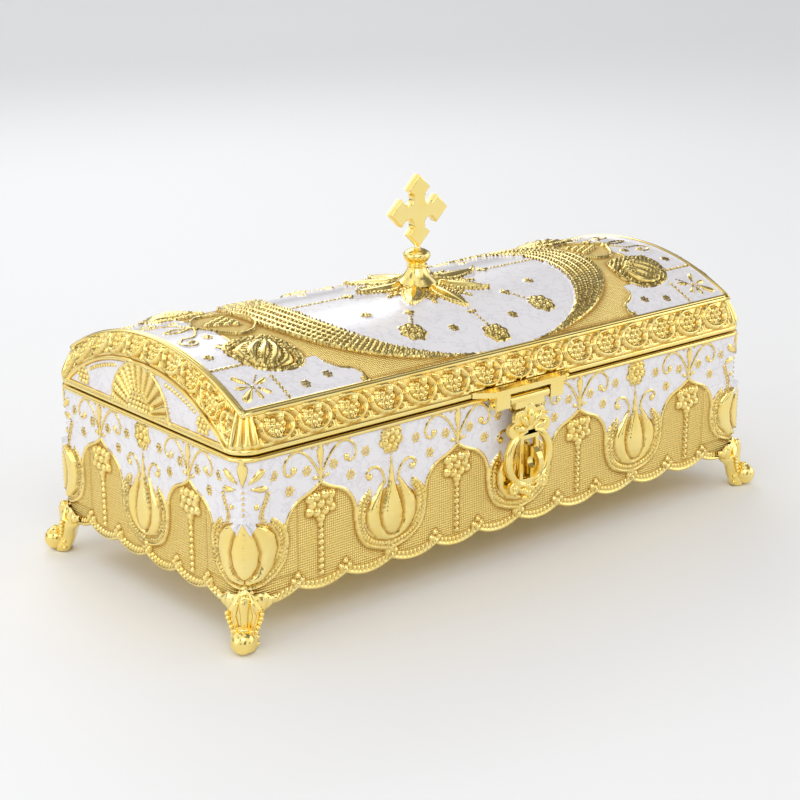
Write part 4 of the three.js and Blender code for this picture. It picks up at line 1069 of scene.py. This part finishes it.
def hasp_piece(gold):
    """The hasp: fan and neck below its drum, an openwork oval with a slot, volutes and grapes."""
    back = HASP_BACK + CENTRE_Y
    front = HASP_BACK - HASP_THICKNESS + CENTRE_Y
    pin_z = 62.9
    meshes = []
    fan = [(-3.0, 48.8)]
    for step in range(61):
        angle = math.pi * (1.05 - 1.10 * step / 60)
        reach = 10.4 * (0.84 + 0.16 * abs(math.sin(step * math.pi / 12)))
        fan.append((reach * math.cos(angle), min(50.2 + reach * math.sin(angle), pin_z - 2.0)))
    fan.append((3.0, 48.8))
    meshes.append(plate_mesh("fan", [fan], back, front, 0.3))
    slot_line = [(-2.95, 32.4), (2.95, 32.4), (2.95, 47.4), (-2.95, 47.4)]
    frame_line = [(-4.4, 29.5), (4.4, 29.5), (4.6, 33), (4.5, 51), (-4.5, 51), (-4.6, 33)]
    meshes.append(plate_mesh("frame", [frame_line, slot_line], back, front, 0.25))
    parts = []
    for side in (-1, 1):
        oval = [(side * 9.9 * math.cos(a), OVAL_Z + 10.4 * math.sin(a))
                for a in np.linspace(0.44 * math.pi, -0.42 * math.pi, 40)]
        widths = 0.9 + 0.9 * np.sin(math.pi * np.linspace(0, 1, 40))
        line = [(x, front + 0.7, z) for x, z in oval]
        parts.append(tube(line, widths, 12))
        for offset in (-0.45, 0.45):
            scale = 1 + offset * 0.05
            rope = [(x * scale, front - 0.35, OVAL_Z + (z - OVAL_Z) * scale) for x, z in oval]
            parts.append(tube(rope, 0.5, 8))
        turns = zip(np.linspace(0.9 * math.pi, -1.6 * math.pi, 40), np.linspace(2.4, 0.7, 40))
        spiral = [(side * (VOLUTE_X + r * math.cos(a)), front + 0.2, VOLUTE_Z + r * math.sin(a))
                  for a, r in turns]
        parts.append(tube(spiral, 0.85, 10))
        parts.append(ball((side * VOLUTE_X, front + 0.4, VOLUTE_Z), 1.3))
        disc = [(side * VOLUTE_X + 2.5 * math.cos(a), VOLUTE_Z + 2.5 * math.sin(a))
                for a in np.linspace(0, 2 * math.pi, 24, endpoint=False)]
        meshes.append(plate_mesh("volute", [disc], back, front + 0.3, 0.25))
        link = [(side * 4.4, front + 0.4, 31.5), (side * 5.2, front + 0.3, VOLUTE_Z),
                (side * 3.4, front + 0.3, 28)]
        parts.append(tube(link, 0.8))
        for step in range(5):
            bead = (side * (3.2 + step * 1.3), front + 0.1, 56.6 - abs(step - 2) * 0.5)
            parts.append(ball(bead, 0.62))
    for step in range(5):
        angle = math.pi * (0.5 + (step - 2) * 0.2)
        inner = (2.2 * math.cos(angle), front, 50.4 + 2.2 * math.sin(angle))
        outer = (8.2 * math.cos(angle), front - 0.1, 50.4 + 8.2 * math.sin(angle))
        ray = np.linspace(inner, outer, 12)
        swell = np.sin(np.linspace(0.12, 0.98, 12) ** 1.3 * math.pi) ** 0.8
        parts.append(tube(ray, 0.3 + 1.25 * swell, 10))
    for x, z, r in [(0, 26.6, 1.7), (-2.1, 27.9, 1.5), (2.1, 27.9, 1.5), (-1.5, 24.9, 1.3),
                    (1.5, 24.9, 1.3), (0, 23.9, 0.9), (0, 29.2, 1.5)]:
        parts.append(ball((x, (back + front) / 2, z), r, 10, 14))
    drum = [(x, back, pin_z) for x in np.linspace(-9.5, 9.5, 40)]
    parts.append(tube(drum, 1.9, 24))
    neck = [(-7, 59.5), (7, 59.5), (7, 62.4), (-7, 62.4)]
    meshes.append(plate_mesh("neck", [neck], back, front + 0.2, 0.25))
    piece = object_of("hasp_cast", meshes, parts, gold, "hasp")
    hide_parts("hasp")


def softened(node, gold, width=0.3):
    """A CAD node that keeps its form, with its edges rounded."""
    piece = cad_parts[node]
    piece.data.materials.clear()
    piece.data.materials.append(gold)
    bevel = piece.modifiers.new("edges", "BEVEL")
    bevel.width = width * MM
    bevel.segments = 3
    bevel.limit_method = "ANGLE"
    bevel.angle_limit = math.radians(32)
    bevel.harden_normals = True


# ---- Materials -----------------------------------------------------------------------------------

class Nodes:
    """Short calls for a material's nodes."""

    def __init__(self, material):
        self.tree = material.node_tree
        self.tree.nodes.clear()

    def add(self, kind, **settings):
        node = self.tree.nodes.new(kind)
        for key, value in settings.items():
            setattr(node, key, value)
        return node

    def join(self, source, target):
        self.tree.links.new(source, target)

    def math(self, operation, first, second=None, third=None, clamp=False):
        node = self.add("ShaderNodeMath", operation=operation, use_clamp=clamp)
        for socket, value in zip(node.inputs, (first, second, third)):
            if value is None:
                continue
            if isinstance(value, (int, float)):
                socket.default_value = value
            else:
                self.join(value, socket)
        return node.outputs[0]

    def attribute(self, name):
        return self.add("ShaderNodeAttribute", attribute_name=name)

    def noise(self, scale, detail=2.0, roughness=0.5):
        node = self.add("ShaderNodeTexNoise")
        node.inputs["Scale"].default_value = scale
        node.inputs["Detail"].default_value = detail
        node.inputs["Roughness"].default_value = roughness
        self.join(self.add("ShaderNodeTexCoord").outputs["Object"], node.inputs["Vector"])
        return node.outputs["Fac"]

    def bump(self, height, strength, distance, below=None):
        """A bump with its distance in millimetres, on top of another where there is one."""
        node = self.add("ShaderNodeBump")
        node.inputs["Strength"].default_value = strength
        node.inputs["Distance"].default_value = distance * MM
        self.join(height, node.inputs["Height"])
        if below is not None:
            self.join(below, node.inputs["Normal"])
        return node.outputs[0]

    def ramp(self, factor, low, high, low_colour, high_colour):
        node = self.add("ShaderNodeMix", data_type="RGBA")
        span = self.add("ShaderNodeMapRange")
        span.inputs["From Min"].default_value = low
        span.inputs["From Max"].default_value = high
        self.join(factor, span.inputs["Value"])
        self.join(span.outputs["Result"], node.inputs["Factor"])
        for socket, value in ((node.inputs[6], low_colour), (node.inputs[7], high_colour)):
            if isinstance(value, tuple):
                socket.default_value = value
            else:
                self.join(value, socket)
        return node.outputs[2]


def new_material(name):
    """A material of one Principled shader, with the short calls for its nodes."""
    material = bpy.data.materials.new(name)
    material.use_nodes = True
    nodes = Nodes(material)
    shader = nodes.add("ShaderNodeBsdfPrincipled")
    output = nodes.add("ShaderNodeOutputMaterial")
    nodes.join(shader.outputs[0], output.inputs[0])
    return material, nodes, shader


GOLD = (1.0, 0.77, 0.24, 1)
# Deep amber put into hollows, borders and knurl grooves as painted shade.
GOLD_PAINTED_SHADE = (0.56, 0.29, 0.03, 1)
GOLD_PALE = (1.0, 0.83, 0.34, 1)
GOLD_KNURL = (1.0, 0.76, 0.24, 1)


def gold_colour(nodes):
    tone = nodes.noise(90, 3)
    return nodes.ramp(tone, 0.3, 0.72, GOLD, GOLD_PALE)


def gold_material(name, roughness=0.14, grain=0.04):
    material, nodes, shader = new_material(name)
    shader.inputs["Metallic"].default_value = 1.0
    nodes.join(gold_colour(nodes), shader.inputs["Base Color"])
    wear = nodes.noise(260, 2)
    rough = nodes.math("MULTIPLY_ADD", wear, 0.12, roughness - 0.04)
    nodes.join(rough, shader.inputs["Roughness"])
    nodes.join(nodes.bump(nodes.noise(700, 2), 0.35, grain), shader.inputs["Normal"])
    return material


def relief_material(name):
    """Enamel and gold side by side, with knurling, as the sheet's own values say, and painted shade in
    the hollows, along the borders and in the knurl's grooves.
    """
    material, nodes, shader = new_material(name)
    gilt = nodes.attribute("gilt").outputs["Fac"]
    knurl = nodes.attribute("knurl").outputs["Fac"]
    place = nodes.attribute("place").outputs["Vector"]
    # Painted shade: how deep each place lies in a hollow, darkened in the colour below.
    painted_hollow_shade = nodes.attribute("painted_hollow_shade").outputs["Fac"]
    mask = nodes.math("MULTIPLY_ADD", gilt, 5.0, 0.5, clamp=True)
    knurled = nodes.math("MULTIPLY", knurl, 2.5, clamp=True)

    veins = nodes.math("ABSOLUTE", nodes.math("SUBTRACT", nodes.noise(150, 5, roughness=0.62), 0.5))
    enamel = nodes.ramp(veins, 0.0, 0.03, (0.76, 0.73, 0.765, 1), (0.865, 0.845, 0.865, 1))

    split = nodes.add("ShaderNodeSeparateXYZ")
    nodes.join(place, split.inputs[0])
    first = nodes.math("ADD", split.outputs[0], split.outputs[1])
    second = nodes.math("SUBTRACT", split.outputs[0], split.outputs[1])
    waves = nodes.math("MULTIPLY", nodes.math("SINE", nodes.math("MULTIPLY", first, 3.6)),
                       nodes.math("SINE", nodes.math("MULTIPLY", second, 3.6)))
    pattern = nodes.math("MULTIPLY", waves, knurled)
    # Painted shade in the knurl's grooves.
    groove_shade = nodes.math("MULTIPLY", nodes.math("SUBTRACT", 0.15, waves, clamp=True), knurled)

    # Painted shade: a dark line along the border of enamel and gold, in place of the shade in the
    # crevice there.
    off_edge = nodes.math("MULTIPLY", nodes.math("ABSOLUTE", gilt), 3.2, clamp=True)
    seam = nodes.math("SUBTRACT", 1.0, off_edge)
    # Painted shade: the amount of darkening from the border line, the hollows and the knurl's grooves.
    painted_shade = nodes.math("ADD", nodes.math("MULTIPLY", seam, 0.45), painted_hollow_shade)
    painted_shade = nodes.math("MULTIPLY_ADD", groove_shade, 0.36, painted_shade)
    bright = nodes.ramp(knurled, 0.0, 1.0, gold_colour(nodes), GOLD_KNURL)
    # Painted shade: the gold is mixed towards deep amber by that amount.
    shaded = nodes.ramp(painted_shade, 0.0, 1.15, bright, GOLD_PAINTED_SHADE)
    colour = nodes.ramp(mask, 0.0, 1.0, enamel, shaded)
    nodes.join(colour, shader.inputs["Base Color"])
    sheen = nodes.math("MULTIPLY_ADD", knurled, -0.5, 1.0)
    nodes.join(nodes.math("MULTIPLY", mask, sheen), shader.inputs["Metallic"])
    rough = nodes.math("MULTIPLY_ADD", knurled, 0.1, 0.17)
    nodes.join(rough, shader.inputs["Roughness"])
    coarse = nodes.bump(pattern, 0.9, 0.26)
    nodes.join(nodes.bump(nodes.noise(520, 2), 0.2, 0.03, coarse), shader.inputs["Normal"])
    return material


# ---- The studio ----------------------------------------------------------------------------------

def plain_material(name, colour, roughness):
    material, nodes, shader = new_material(name)
    nodes.join(nodes.ramp(nodes.noise(3, 1), 0.3, 0.7, colour, tuple(min(1, c * 1.01) for c in colour)),
               shader.inputs["Base Color"])
    shader.inputs["Roughness"].default_value = roughness
    return material


def area_light(name, place, target, size, power):
    light = bpy.data.lights.new(name, "AREA")
    light.shape = "RECTANGLE"
    light.size, light.size_y = size
    light.energy = power
    lamp = bpy.data.objects.new(name, light)
    bpy.context.scene.collection.objects.link(lamp)
    lamp.location = place
    lamp.rotation_euler = (Vector(target) - Vector(place)).to_track_quat("-Z", "Y").to_euler()


def studio():
    scene = bpy.context.scene
    bpy.ops.mesh.primitive_plane_add(size=30, location=(0, 0, 0))
    floor = bpy.context.object
    floor.name = "floor"
    floor.data.materials.append(plain_material("floor_white", (0.93, 0.93, 0.935, 1), 0.6))
    world = bpy.data.worlds.new("studio")
    world.use_nodes = True
    background = world.node_tree.nodes["Background"]
    background.inputs[1].default_value = 1.05
    tree = world.node_tree
    direction = tree.nodes.new("ShaderNodeTexCoord")
    patches = tree.nodes.new("ShaderNodeTexNoise")
    patches.inputs["Scale"].default_value = 1.9
    patches.inputs["Detail"].default_value = 1.0
    tones = tree.nodes.new("ShaderNodeValToRGB")
    tones.color_ramp.elements[0].position = 0.40
    tones.color_ramp.elements[0].color = (0.20, 0.19, 0.19, 1)
    tones.color_ramp.elements[1].position = 0.52
    tones.color_ramp.elements[1].color = (0.98, 0.99, 1.0, 1)
    tree.links.new(direction.outputs["Generated"], patches.inputs["Vector"])
    tree.links.new(patches.outputs[0], tones.inputs[0])
    tree.links.new(tones.outputs[0], background.inputs[0])
    scene.world = world
    area_light("key", (-0.5, -0.75, 0.9), (0, 0, 0.04), (0.7, 0.5), 2.4)
    area_light("fill_left", (-1.0, 0.15, 0.45), (0, 0, 0.05), (0.6, 0.6), 1.2)
    area_light("back_strip", (0.3, 0.9, 0.7), (0, 0, 0.06), (1.0, 0.3), 2.0)
    area_light("right_card", (0.9, -0.5, 0.35), (0, 0, 0.05), (0.5, 0.5), 0.8)
    scene.view_settings.view_transform = "Standard"
    scene.view_settings.exposure = 0.0


def camera():
    data = bpy.data.cameras.new("camera")
    data.lens = 82.18
    data.sensor_width = 36
    camera_object = bpy.data.objects.new("camera", data)
    bpy.context.scene.collection.objects.link(camera_object)
    place = Vector((-0.43503, -0.50335, 0.25697))
    target = Vector((-0.008178, 0.00241, 0.04846))
    camera_object.location = place
    camera_object.rotation_euler = (target - place).to_track_quat("-Z", "Y").to_euler()
    bpy.context.scene.camera = camera_object


# ---- Assembly ------------------------------------------------------------------------------------

def build():
    dressed = relief_material("gilt_and_enamel")
    gold = gold_material("polished_gold")
    soft_gold = gold_material("brushed_gold", 0.3, 0.08)
    box_pieces(dressed, soft_gold)
    lid_top(dressed)
    lid_bands(dressed)
    lid_end("lid_end_left", -1, dressed)
    lid_end("lid_end_right", 1, dressed)
    lid_ridge(gold)
    lid_lip(gold)
    lid_inside(soft_gold)
    for side, corner in enumerate(["front_left", "front_right", "back_right", "back_left"]):
        foot_piece("foot_" + corner, side, gold)
    finial_stem(gold)
    finial_cross(gold)
    hasp_piece(gold)
    for node in ["clasp_bracket", "clasp_pin", "staple"]:
        softened(node, gold)
    for side in ("left", "right"):
        for part in ("box_leaf", "lid_leaf", "pin"):
            softened(f"hinge_{side}_{part}", gold, 0.2)
    studio()
    camera()


build()
